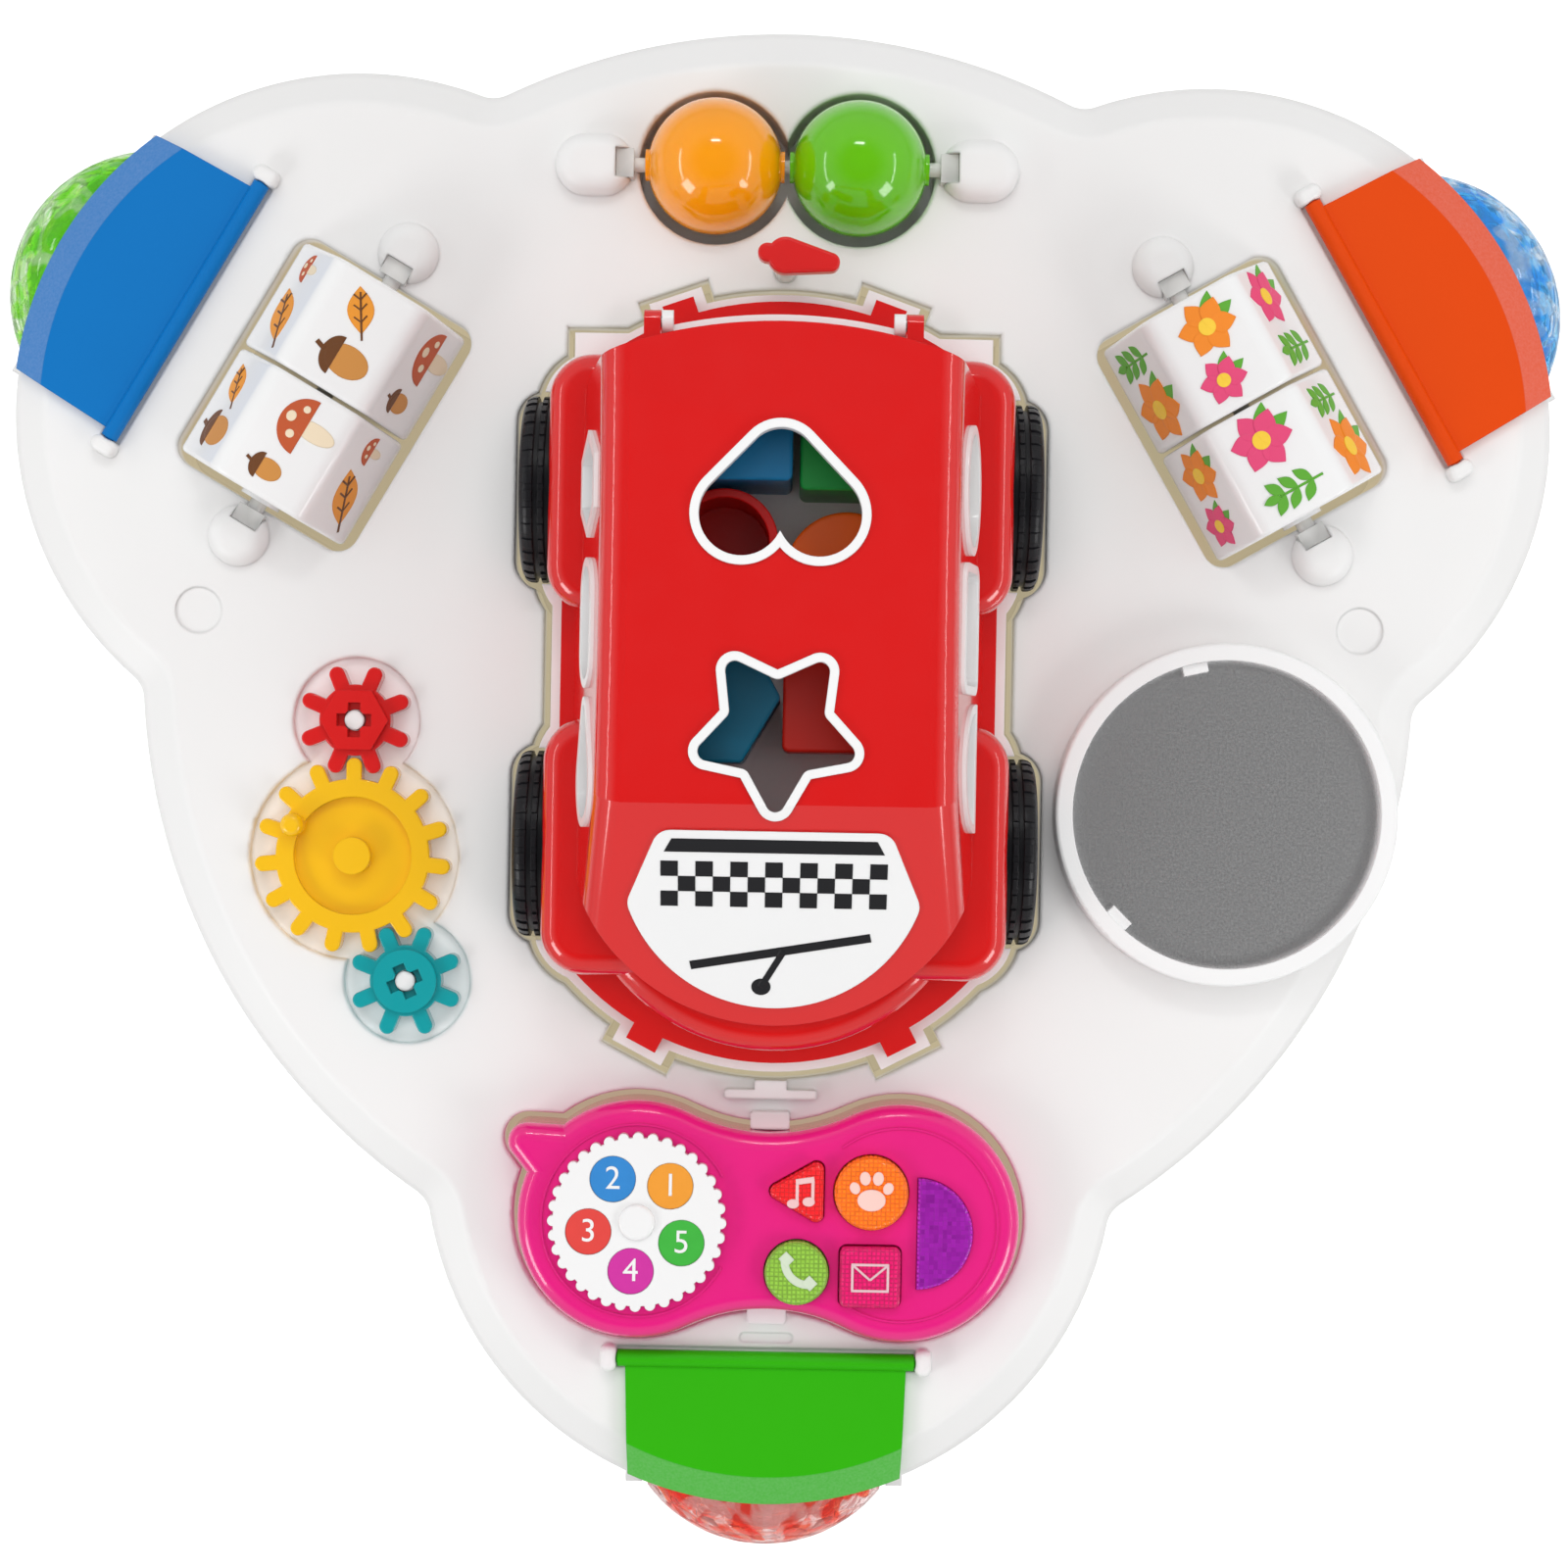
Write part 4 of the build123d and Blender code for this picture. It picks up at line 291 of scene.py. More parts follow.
def prism_facets():
    """Shared effect: the relief of the small moulded prisms of translucent plastic, each painted lighter in
    its middle and darker at its edges as painted glints and painted shade, with untinted streaks.
    """
    tree, given, out = new_group(
        "Prism facets",
        (("Colour", COLOUR, (0.8, 0.8, 0.8, 1.0)), ("Size", FLOAT, 500.0), ("Sparkle", FLOAT, 0.9),
         ("Streaks", FLOAT, 0.0)),
        (("Colour", COLOUR), ("Height", FLOAT)))
    place = add_node(tree, "ShaderNodeTexCoord").outputs["Object"]
    cells = add_node(tree, "ShaderNodeTexVoronoi", {"distance": "CHEBYCHEV"}, Vector=place,
                     Scale=given["Size"], Randomness=0.15)
    # Painted glints and painted shade: each prism is lighter in its middle and darker towards its edges, by
    # the glint setting; the same value raises the relief
    lift = maths(tree, "SUBTRACT", 0.5, cells.outputs["Distance"])
    value = maths(tree, "MULTIPLY_ADD", lift, given["Sparkle"], 1.0)
    shade = add_node(tree, "ShaderNodeHueSaturation", Color=given["Colour"], Value=value)
    swirl = add_node(tree, "ShaderNodeTexNoise", Vector=place, Scale=75.0, Detail=1.0, Distortion=1.6)
    streak = add_node(tree, "ShaderNodeMapRange", Value=swirl.outputs["Fac"], From_Min=0.50, From_Max=0.56)
    untinted = maths(tree, "MULTIPLY", streak.outputs["Result"], given["Streaks"])
    tree.links.new(blend(tree, untinted, shade.outputs["Color"], WHITE), out["Colour"])
    tree.links.new(lift, out["Height"])
    return tree


def drawn_metal():
    """Shared effect: the fine lines and dulled spots of drawn or rolled metal."""
    tree, given, out = new_group(
        "Drawn metal",
        (("Colour", COLOUR, (0.6, 0.6, 0.6, 1.0)), ("Line size", FLOAT, 900.0), ("Gloss", FLOAT, 0.3),
         ("Drawing", FLOAT, 0.06)),
        (("Colour", COLOUR), ("Roughness", FLOAT), ("Height", FLOAT)))
    place = add_node(tree, "ShaderNodeTexCoord").outputs["Object"]
    pull = add_node(tree, "ShaderNodeCombineXYZ", X=1.0, Y=given["Drawing"], Z=1.0)
    stretched = add_node(tree, "ShaderNodeVectorMath", {"operation": "MULTIPLY"}, _0=place,
                         _1=pull.outputs["Vector"])
    lines = add_node(tree, "ShaderNodeTexNoise", Vector=stretched.outputs["Vector"],
                     Scale=given["Line size"], Detail=3.0)
    spots = add_node(tree, "ShaderNodeTexNoise", Vector=place, Scale=2200.0, Detail=2.0)
    lift = maths(tree, "SUBTRACT", spots.outputs["Fac"], 0.5)
    shade = add_node(tree, "ShaderNodeHueSaturation", Color=given["Colour"],
                     Value=maths(tree, "MULTIPLY_ADD", lift, 0.35, 1.0))
    tree.links.new(shade.outputs["Color"], out["Colour"])
    tree.links.new(maths(tree, "MULTIPLY_ADD", lines.outputs["Fac"], 0.2, given["Gloss"]), out["Roughness"])
    tree.links.new(lines.outputs["Fac"], out["Height"])
    return tree


GROUPS = {"Moulded skin": moulded_skin, "Prism facets": prism_facets, "Drawn metal": drawn_metal}


def effect(tree, name, **values):
    """Place a shared effect in a material with its own values."""
    made = tree.nodes.new("ShaderNodeGroup")
    made.node_tree = bpy.data.node_groups.get(name) or GROUPS[name]()
    for key, value in values.items():
        made.inputs[key.replace("_", " ")].default_value = value
    return made


def opaque(colour):
    """A colour with full alpha."""
    return (colour[0], colour[1], colour[2], 1.0)


def new_material(name, colour):
    """A material with nodes, and its Principled shader."""
    material = bpy.data.materials.new(name)
    material.use_nodes = True
    material.diffuse_color = opaque(colour)
    return material, material.node_tree, material.node_tree.nodes["Principled BSDF"]


def wear(tree, shader, skin):
    """Link the colour and the roughness of an effect to a shader."""
    tree.links.new(skin.outputs["Colour"], shader.inputs["Base Color"])
    tree.links.new(skin.outputs["Roughness"], shader.inputs["Roughness"])


def soften(tree, shader, height, depth, rounding):
    """Give a shader its fine relief, and the small rounding that moulded edges have."""
    edges = add_node(tree, "ShaderNodeBevel", {"samples": 4}, Radius=rounding)
    bump = add_node(tree, "ShaderNodeBump", Height=height, Distance=depth, Normal=edges.outputs["Normal"])
    tree.links.new(bump.outputs["Normal"], shader.inputs["Normal"])


def plastic(name, colour, gloss=0.3, clouding=0.06, grain=1500.0, depth=0.02 * MM, coat=0.0, glow=0.0):
    """Moulded opaque plastic; coat makes it shine and glow lets a little light into it."""
    material, tree, shader = new_material(name, colour)
    skin = effect(tree, "Moulded skin", Colour=opaque(colour), Clouding=clouding, Grain_size=grain,
                  Gloss=gloss)
    wear(tree, shader, skin)
    shader.inputs["Coat Weight"].default_value = coat
    shader.inputs["Coat Roughness"].default_value = COAT_ROUGHNESS
    shader.inputs["Specular IOR Level"].default_value = PLASTIC_SPECULAR
    if glow > 0:
        shader.inputs["Subsurface Weight"].default_value = glow
        shader.inputs["Subsurface Radius"].default_value = SCATTER_REACH
    soften(tree, shader, skin.outputs["Height"], depth, 0.5 * MM)
    return material


def clear(name, colour, clearness, size, depth, gloss=0.06, sparkle=0.6, glow=0.0, streaks=0.0):
    """Tinted clear plastic with moulded prisms; glint sets the painted glints and painted shade on the
    prisms, glow is a painted glow in the plastic's own tint, and streaks are untinted.
    """
    material, tree, shader = new_material(name, colour)
    facets = effect(tree, "Prism facets", Colour=opaque(colour), Size=size, Sparkle=sparkle, Streaks=streaks)
    tree.links.new(facets.outputs["Colour"], shader.inputs["Base Color"])
    shader.inputs["Roughness"].default_value = gloss
    shader.inputs["Transmission Weight"].default_value = clearness
    # Painted glow: the plastic gives out light in its own tint, though it is no lamp
    shader.inputs["Emission Color"].default_value = opaque(colour)
    shader.inputs["Emission Strength"].default_value = glow
    shader.inputs["IOR"].default_value = CLEAR_IOR
    soften(tree, shader, facets.outputs["Height"], depth, 0.3 * MM)
    return material


def metal(name, colour, gloss, lines, drawing=0.06):
    """Drawn or rolled metal; a drawing of 1 leaves an even grain."""
    material, tree, shader = new_material(name, colour)
    drawn = effect(tree, "Drawn metal", Colour=opaque(colour), Gloss=gloss, Line_size=lines, Drawing=drawing)
    wear(tree, shader, drawn)
    shader.inputs["Metallic"].default_value = 1.0
    soften(tree, shader, drawn.outputs["Height"], 0.004 * MM, 0.3 * MM)
    return material


def table_plastic(name, colour, well_shade):
    """The table's satin white; below the flat top each well is painted with warm shade and a warm painted
    glow, and the shallow recesses get a fainter painted glow.
    """
    material, tree, shader = new_material(name, colour)
    skin = effect(tree, "Moulded skin", Colour=opaque(colour), Clouding=0.03, Cloud_size=12.0,
                  Grain_size=900.0, Gloss=0.38)
    inside = maths(tree, "LESS_THAN", distance(tree, 0.0, TABLE_MIDDLE_Y), BODY_FLAT_RADIUS * MM)
    for angle in LOBE_ANGLES:
        within = maths(tree, "LESS_THAN", distance(tree, *lobe_middle(angle)), LOBE_FLAT_RADIUS * MM)
        inside = maths(tree, "MAXIMUM", inside, within)
    for side in (-1, 1):
        away = distance(tree, side * BALL_WELL[0], TABLE_MIDDLE_Y + BALL_WELL[1])
        inside = maths(tree, "MINIMUM", inside, maths(tree, "GREATER_THAN", away, BALL_WELL[2] * MM))
    place = add_node(tree, "ShaderNodeTexCoord").outputs["Object"]
    height = add_node(tree, "ShaderNodeSeparateXYZ", Vector=place).outputs["Z"]
    # Painted shade: below the flat top of the body and lobes, away from the balls, the base colour turns to
    # the darkened well colour
    depth = add_node(tree, "ShaderNodeMapRange", Value=height, From_Min=(TABLE_TOP - SHADED_WELL_DEPTHS[0]) * MM,
                     From_Max=(TABLE_TOP - SHADED_WELL_DEPTHS[1]) * MM)
    mask = maths(tree, "MULTIPLY", depth.outputs["Result"], inside)
    shaded = opaque([PAINTED_SHADE_SHARE * value for value in well_shade])
    tree.links.new(blend(tree, mask, skin.outputs["Colour"], shaded), shader.inputs["Base Color"])
    # Painted glow: a faint grey glow in the shallow recesses and a warm beige glow deeper in each well
    shallow = add_node(tree, "ShaderNodeMapRange", Value=height, From_Min=(TABLE_TOP - GLOWING_RECESS_DEPTHS[0]) * MM,
                       From_Max=(TABLE_TOP - GLOWING_RECESS_DEPTHS[1]) * MM, To_Max=RECESS_PAINTED_GLOW).outputs["Result"]
    recess = maths(tree, "MULTIPLY", shallow, inside)
    tree.links.new(blend(tree, mask, recess, opaque(well_shade)), shader.inputs["Emission Color"])
    shader.inputs["Emission Strength"].default_value = PAINTED_GLOW_STRENGTH
    tree.links.new(skin.outputs["Roughness"], shader.inputs["Roughness"])
    shader.inputs["Specular IOR Level"].default_value = PLASTIC_SPECULAR
    soften(tree, shader, skin.outputs["Height"], 0.015 * MM, 1.2 * MM)
    return material


def flap_plastic(name, colour, angle):
    """A flap's plastic, with a rougher band along its outer edge that is painted paler as a painted sheen."""
    material, tree, shader = new_material(name, colour)
    rough_sheen_band = add_node(tree, "ShaderNodeMapRange", Value=distance(tree, *lobe_middle(angle)),
                     From_Min=FLAP_BAND * MM, From_Max=(FLAP_BAND + FLAP_BAND_EDGE) * MM).outputs["Result"]
    skin = effect(tree, "Moulded skin", Colour=opaque(colour), Clouding=0.05, Grain_size=900.0, Gloss=0.42)
    place = add_node(tree, "ShaderNodeTexCoord").outputs["Object"]
    speckled_sheen = add_node(tree, "ShaderNodeTexNoise", Vector=place, Scale=1400.0, Detail=2.0).outputs["Fac"]
    # Painted sheen: the band is mixed towards white by a small speckled amount
    pale = maths(tree, "MULTIPLY", rough_sheen_band, maths(tree, "MULTIPLY_ADD", speckled_sheen, 0.10, 0.03))
    tree.links.new(blend(tree, pale, skin.outputs["Colour"], WHITE), shader.inputs["Base Color"])
    tree.links.new(maths(tree, "MULTIPLY_ADD", rough_sheen_band, 0.2, skin.outputs["Roughness"]),
                   shader.inputs["Roughness"])
    shader.inputs["Specular IOR Level"].default_value = FLAP_SPECULAR
    soften(tree, shader, skin.outputs["Height"], 0.02 * MM, 0.5 * MM)
    return material


def dial_print(name, colours):
    """Ink of the dial's five round windows: one colour each, by its place around the dial."""
    material, tree, shader = new_material(name, colours[0])
    centre = Vector(JOINTS["dial_spin"]["pos_m"])
    place = add_node(tree, "ShaderNodeTexCoord").outputs["Object"]
    moved = add_node(tree, "ShaderNodeVectorMath", {"operation": "SUBTRACT"}, _0=place, _1=tuple(centre))
    parts = add_node(tree, "ShaderNodeSeparateXYZ", Vector=moved.outputs[0]).outputs
    angle = maths(tree, "ARCTAN2", parts["Y"], parts["X"])
    share = maths(tree, "FRACT", maths(tree, "ADD", maths(tree, "DIVIDE", angle, 2 * math.pi), 1.0))
    ramp = add_node(tree, "ShaderNodeValToRGB", Fac=share)
    ramp.color_ramp.interpolation = "CONSTANT"
    first = DIAL_FIRST_ANGLE / 360 - 0.5 / DIAL_COUNT
    stops = ramp.color_ramp.elements
    stops[1].position = first
    for index in range(1, DIAL_COUNT):
        stops.new(first + index / DIAL_COUNT)
    for stop, colour in zip(stops, colours[-1:] + colours):
        stop.color = opaque(colour)
    skin = effect(tree, "Moulded skin", Clouding=0.12, Cloud_size=250.0, Gloss=0.3)
    tree.links.new(ramp.outputs["Color"], skin.inputs["Colour"])
    wear(tree, shader, skin)
    soften(tree, shader, skin.outputs["Height"], 0.01 * MM, 0.2 * MM)
    return material


def dress(material, *names):
    """Give solids their finish."""
    for name in names:
        NODES[name].data.materials.clear()
        NODES[name].data.materials.append(material)


# Mesh helpers


def new_piece(name, bm, materials, body):
    """Turn a mesh in the making into a piece that rides on a body."""
    bmesh.ops.recalc_face_normals(bm, faces=bm.faces)
    bmesh.ops.triangulate(bm, faces=[face for face in bm.faces if len(face.verts) > 4])
    mesh = bpy.data.meshes.new(name)
    bm.to_mesh(mesh)
    bm.free()
    for material in materials:
        mesh.materials.append(material)
    piece = bpy.data.objects.new(name, mesh)
    bpy.context.scene.collection.objects.link(piece)
    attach(piece, body)


def surface(origin, along, up):
    """Place on a surface: x runs along, y runs up and z stands out of it; outlines are in millimetres."""
    x = Vector(along).normalized()
    z = x.cross(Vector(up)).normalized()
    y = z.cross(x)
    rows = [[x[i] * MM, y[i] * MM, z[i], origin[i]] for i in range(3)]
    return Matrix(rows + [[0.0, 0.0, 0.0, 1.0]])


def raise_shape(bm, place, outline, low, high, ink=0):
    """A thin raised shape on a surface, from low to high above it, in metres."""
    rings = [[bm.verts.new(place @ Vector((x, y, level))) for x, y in outline] for level in (low, high)]
    faces = [bm.faces.new(rings[1]), bm.faces.new(rings[0][::-1])]
    for i in range(len(outline)):
        j = (i + 1) % len(outline)
        faces.append(bm.faces.new((rings[0][i], rings[0][j], rings[1][j], rings[1][i])))
    for face in faces:
        face.material_index = ink


def oval(x, y, half_x, half_y, turn=0.0, start=0.0, end=360.0, steps=28):
    """Points of an oval or, with a start and an end, of a part of it."""
    c, s = math.cos(math.radians(turn)), math.sin(math.radians(turn))
    whole = abs(end - start) >= 360
    count = steps if whole else steps + 1
    points = []
    for i in range(count):
        a = math.radians(start + (end - start) * i / steps)
        u, v = half_x * math.cos(a), half_y * math.sin(a)
        points.append((x + u * c - v * s, y + u * s + v * c))
    return points


def leaf(x, y, length, width, turn, steps=12):
    """A pointed leaf that starts at a place and runs in a direction."""
    c, s = math.cos(math.radians(turn)), math.sin(math.radians(turn))
    upper = [(length * i / steps, width / 2 * math.sin(math.pi * i / steps)) for i in range(steps)]
    lower = [(length - u, -v) for u, v in upper]
    return [(x + u * c - v * s, y + u * s + v * c) for u, v in upper + lower]


def bar(x0, y0, x1, y1, width):
    """A straight stroke."""
    length = math.hypot(x1 - x0, y1 - y0)
    u, v = (y0 - y1) / length * width / 2, (x1 - x0) / length * width / 2
    return [(x0 + u, y0 + v), (x0 - u, y0 - v), (x1 - u, y1 - v), (x1 + u, y1 + v)]


def band(x, y, radius, width, start, end, steps=24):
    """A curved stroke about a middle."""
    outer = oval(x, y, radius + width / 2, radius + width / 2, 0, start, end, steps)
    inner = oval(x, y, radius - width / 2, radius - width / 2, 0, start, end, steps)
    return outer + inner[::-1]


def box_middle(node):
    """Middle of a solid's top."""
    low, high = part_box(node)
    return Vector(((low.x + high.x) / 2, (low.y + high.y) / 2, high.z))


# Motifs: each is a list of ink numbers and outlines, drawn about a place in millimetres


def acorn(x, y, size):
    """An acorn: nut, cap and stem."""
    return [(0, oval(x, y - 0.1 * size, 0.30 * size, 0.42 * size)),
            (1, oval(x, y + 0.12 * size, 0.38 * size, 0.30 * size, 0, 0, 180)),
            (1, bar(x, y + 0.38 * size, x + 0.06 * size, y + 0.56 * size, 0.09 * size))]


def mushroom(x, y, size):
    """A mushroom: stem, cap and spots."""
    return [(2, oval(x, y - 0.18 * size, 0.16 * size, 0.36 * size)),
            (3, oval(x, y - 0.02 * size, 0.48 * size, 0.46 * size, 0, 0, 180)),
            (2, oval(x - 0.2 * size, y + 0.16 * size, 0.07 * size, 0.07 * size)),
            (2, oval(x + 0.06 * size, y + 0.28 * size, 0.09 * size, 0.08 * size)),
            (2, oval(x + 0.27 * size, y + 0.11 * size, 0.06 * size, 0.06 * size))]


def autumn_leaf(x, y, size):
    """A leaf with its veins."""
    shapes = [(4, leaf(x - 0.5 * size, y - 0.3 * size, 1.1 * size, 0.62 * size, 32))]
    shapes.append((1, bar(x - 0.62 * size, y - 0.38 * size, x + 0.32 * size, y + 0.21 * size, 0.05 * size)))
    for share in (0.25, 0.5, 0.72):
        u, v = x - 0.5 * size + 0.93 * size * share, y - 0.3 * size + 0.58 * size * share
        shapes.append((1, bar(u, v, u + 0.02 * size, v + 0.2 * size, 0.035 * size)))
        shapes.append((1, bar(u, v, u + 0.2 * size, v - 0.04 * size, 0.035 * size)))
    return shapes


def blossom(x, y, size, ink):
    """A flower of six petals."""
    shapes = [(2, leaf(x, y, 0.62 * size, 0.26 * size, angle)) for angle in (-70, -28)]
    shapes += [(ink, leaf(x, y, 0.52 * size, 0.36 * size, 60 * i + 20)) for i in range(6)]
    shapes.append((3, oval(x, y, 0.15 * size, 0.15 * size)))
    return shapes


def sprig(x, y, size):
    """A stem with pairs of leaves."""
    shapes = [(2, bar(x, y - 0.55 * size, x, y + 0.35 * size, 0.05 * size))]
    for share in (-0.35, -0.05, 0.22):
        shapes.append((2, leaf(x, y + share * size, 0.42 * size, 0.2 * size, 40)))
        shapes.append((2, leaf(x, y + share * size, 0.42 * size, 0.2 * size, 140)))
    shapes.append((2, leaf(x, y + 0.3 * size, 0.36 * size, 0.18 * size, 90)))
    return shapes


def woodland(face, end):
    """What is printed on one face of a left barrel."""
    order = (face + 2 * end) % 3
    if order == 0:
        return acorn(-7.0, -1.0, 15.0), autumn_leaf(7.5, 1.5, 12.0)
    if order == 1:
        return mushroom(6.0, -2.0, 17.0), acorn(-9.0, 2.0, 10.0)
    return autumn_leaf(-4.0, 0.0, 16.0), mushroom(10.0, 0.0, 9.0)


def garden(face, end):
    """What is printed on one face of a right barrel."""
    order = (face + end) % 3
    if order == 0:
        return blossom(-6.0, 0.0, 19.0, 0), sprig(9.0, 0.0, 14.0)
    if order == 1:
        return blossom(7.0, 1.0, 17.0, 1), sprig(-9.0, -1.0, 15.0)
    return blossom(-8.0, 2.0, 13.0, 1), blossom(7.0, -1.0, 16.0, 0)


# Operators


class LOOKS_OT_table(bpy.types.Operator):
    """Finish the table top, its base, legs and feet"""

    bl_idname = "looks.table"
    bl_label = "Table and Legs"

    def execute(self, context):
        paint = context.scene.looks_finish
        dress(table_plastic("table white", paint.table, paint.well_shade), "table_top")
        dress(plastic("base white", paint.white, 0.5, grain=700.0), "table_base")
        dress(metal("screw steel", paint.steel, 0.28, 1200.0), "table_screws", "corner_axles")
        for name in ("green", "orange", "blue"):
            dress(plastic(f"leg {name}", getattr(paint, name), 0.34, coat=0.2), f"leg_{name}")
        dress(plastic("foot rubber", paint.rubber, 0.75, 0.15, 600.0, 0.08 * MM), "leg_feet")
        return {"FINISHED"}


class LOOKS_OT_corners(bpy.types.Operator):
    """Finish the corner flaps and the clear rollers under them, and set a faceted core in each roller"""

    bl_idname = "looks.corners"
    bl_label = "Flaps and Rollers"

    def execute(self, context):
        paint = context.scene.looks_finish
        tints = {"red": (0.95, 0.07, 0.02), "blue": (0.07, 0.50, 0.95), "green": (0.25, 0.80, 0.01)}
        for name, angle in zip(("green", "orange", "blue"), LOBE_ANGLES):
            dress(flap_plastic(f"flap {name}", getattr(paint, name), angle), f"flap_{name}")
        for name, tint in tints.items():
            # The roller shells get a faint painted glow
            shell = clear(f"roller {name}", tint, 0.9, 130.0, 1.2 * MM, glow=0.04, streaks=0.9)
            dress(shell, f"corner_roller_{name}")
            pale = [0.45 + 0.55 * value for value in tint]
            core = clear(f"core {name}", pale, 0.45, 210.0, 0.8 * MM, 0.12)
            self.add_core(name, core)
        return {"FINISHED"}

    def add_core(self, name, material):
        """A faceted core inside a roller, drawn in from the roller's barrel form."""
        joint = JOINTS[f"roller_{name}_spin"]
        axis = Vector(joint["axis"])
        place = surface(Vector(joint["pos_m"]), axis, (0, 0, 1))
        rows = [(CORE_STATIONS[0], CORE_HUB, 0.0)]
        for row, along in enumerate(CORE_STATIONS):
            fall = ROLLER_CROWN - math.sqrt(ROLLER_CROWN**2 - along**2)
            radius = (ROLLER_RADIUS - CORE_INSET - fall) * (1.0 if row % 2 else CORE_WAIST_SHARE)
            rows.append((along, radius, row % 2 / 2))
        rows.append((CORE_STATIONS[-1], CORE_HUB, 0.0))
        bm = bmesh.new()
        rings = []
        for along, radius, shift in rows:
            turns = [2 * math.pi * (side + shift) / CORE_SIDES for side in range(CORE_SIDES)]
            points = [(along, radius * math.cos(turn), radius * MM * math.sin(turn)) for turn in turns]
            rings.append([bm.verts.new(place @ Vector(point)) for point in points])
        for row, (low, high) in enumerate(zip(rings, rings[1:] + rings[:1])):
            for side in range(CORE_SIDES):
                after = (side + 1) % CORE_SIDES
                if rows[row][2] > 0:
                    bm.faces.new((low[side], low[after], high[after]))
                    bm.faces.new((low[side], high[after], high[side]))
                else:
                    bm.faces.new((low[side], low[after], high[side]))
                    bm.faces.new((low[after], high[after], high[side]))
        new_piece(f"roller_core_{name}", bm, [material], f"roller_{name}_barrel")


class LOOKS_OT_barrels(bpy.types.Operator):
    """Finish the picture barrels and print plain woodland and garden motifs on their faces"""

    bl_idname = "looks.barrels"
    bl_label = "Picture Barrels"

    def execute(self, context):
        paint, sizes = context.scene.looks_finish, context.scene.looks_print
        dress(plastic("barrel white", paint.white, 0.2, 0.03, coat=0.6), *self.nodes())
        dress(clear("axle clear", (0.86, 0.86, 0.84), 0.35, 90.0, 0.02 * MM), "picture_axles", "ball_axle",
              "pointer_post")
        inks = {"woodland": ((0.62, 0.27, 0.06), (0.16, 0.06, 0.02), (0.86, 0.72, 0.52), (0.55, 0.10, 0.03),
                             (0.85, 0.32, 0.03)),
                "garden": ((0.90, 0.26, 0.02), (0.80, 0.07, 0.20), (0.12, 0.42, 0.04), (0.95, 0.62, 0.05))}
        made = {kind: [plastic(f"{kind} ink {i}", colour, 0.3, 0.18, 2600.0, 0.008 * MM)
                       for i, colour in enumerate(colours)] for kind, colours in inks.items()}
        for node in self.nodes():
            side, end = node.split("_")[2:]
            kind = "woodland" if side == "left" else "garden"
            self.add_print(node, side, end, woodland if side == "left" else garden, made[kind], sizes)
        return {"FINISHED"}

    def nodes(self):
        """Names of the four barrels."""
        return [f"picture_barrel_{side}_{end}" for side in ("left", "right") for end in ("back", "front")]

    def add_print(self, node, side, end, motif, materials, sizes):
        """Print every face of a barrel."""
        joint = JOINTS[f"barrel_{side}_{end}_spin"]
        middle, axis = Vector(joint["pos_m"]), Vector(joint["axis"])
        low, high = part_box(node)
        centre = middle + axis * ((low + high) / 2 - middle).dot(axis)
        out = Vector((middle.x, middle.y - TABLE_MIDDLE_Y * MM, 0.0)).normalized()
        bm = bmesh.new()
        for face in range(BARREL_FACES):
            turn = math.radians(BARREL_FIRST_FACE + 360 * face / BARREL_FACES)
            normal = out * math.cos(turn) + Vector((0, 0, math.sin(turn)))
            along = axis if side == "left" else -axis
            place = surface(centre + normal * BARREL_APOTHEM * MM, along, normal.cross(along))
            for shapes in motif(face, 1 if end == "back" else 0):
                for layer, (ink, outline) in enumerate(shapes):
                    raise_shape(bm, place, outline, -sizes.ink, sizes.ink + sizes.layer * layer, ink)
        new_piece(f"print_{side}_{end}", bm, materials, f"barrel_{side}_{end}")


class LOOKS_OT_spinners(bpy.types.Operator):
    """Finish the two balls, the pointer and the gears"""

    bl_idname = "looks.spinners"
    bl_label = "Balls, Pointer and Gears"

    def execute(self, context):
        paint = context.scene.looks_finish
        for name in ("orange", "green"):
            colour = getattr(paint, f"ball_{name}")
            dress(plastic(f"ball {name}", colour, 0.12, 0.05, coat=0.8, glow=0.15), f"spin_ball_{name}")
        dress(plastic("pointer red", paint.red, 0.3, coat=0.3), "pointer")
        for name in ("yellow", "red", "teal"):
            dress(plastic(f"gear {name}", getattr(paint, name), 0.24, 0.08, coat=0.6), f"gear_{name}")
        return {"FINISHED"}


class LOOKS_OT_mirror(bpy.types.Operator):
    """Finish the mirror foil and its bezel"""

    bl_idname = "looks.mirror"
    bl_label = "Mirror"

    def execute(self, context):
        paint = context.scene.looks_finish
        dress(plastic("bezel white", paint.white, 0.34, 0.03), "mirror_bezel")
        dress(metal("mirror foil", paint.mirror, 0.28, 1500.0, 1.0), "mirror_disc")
        return {"FINISHED"}


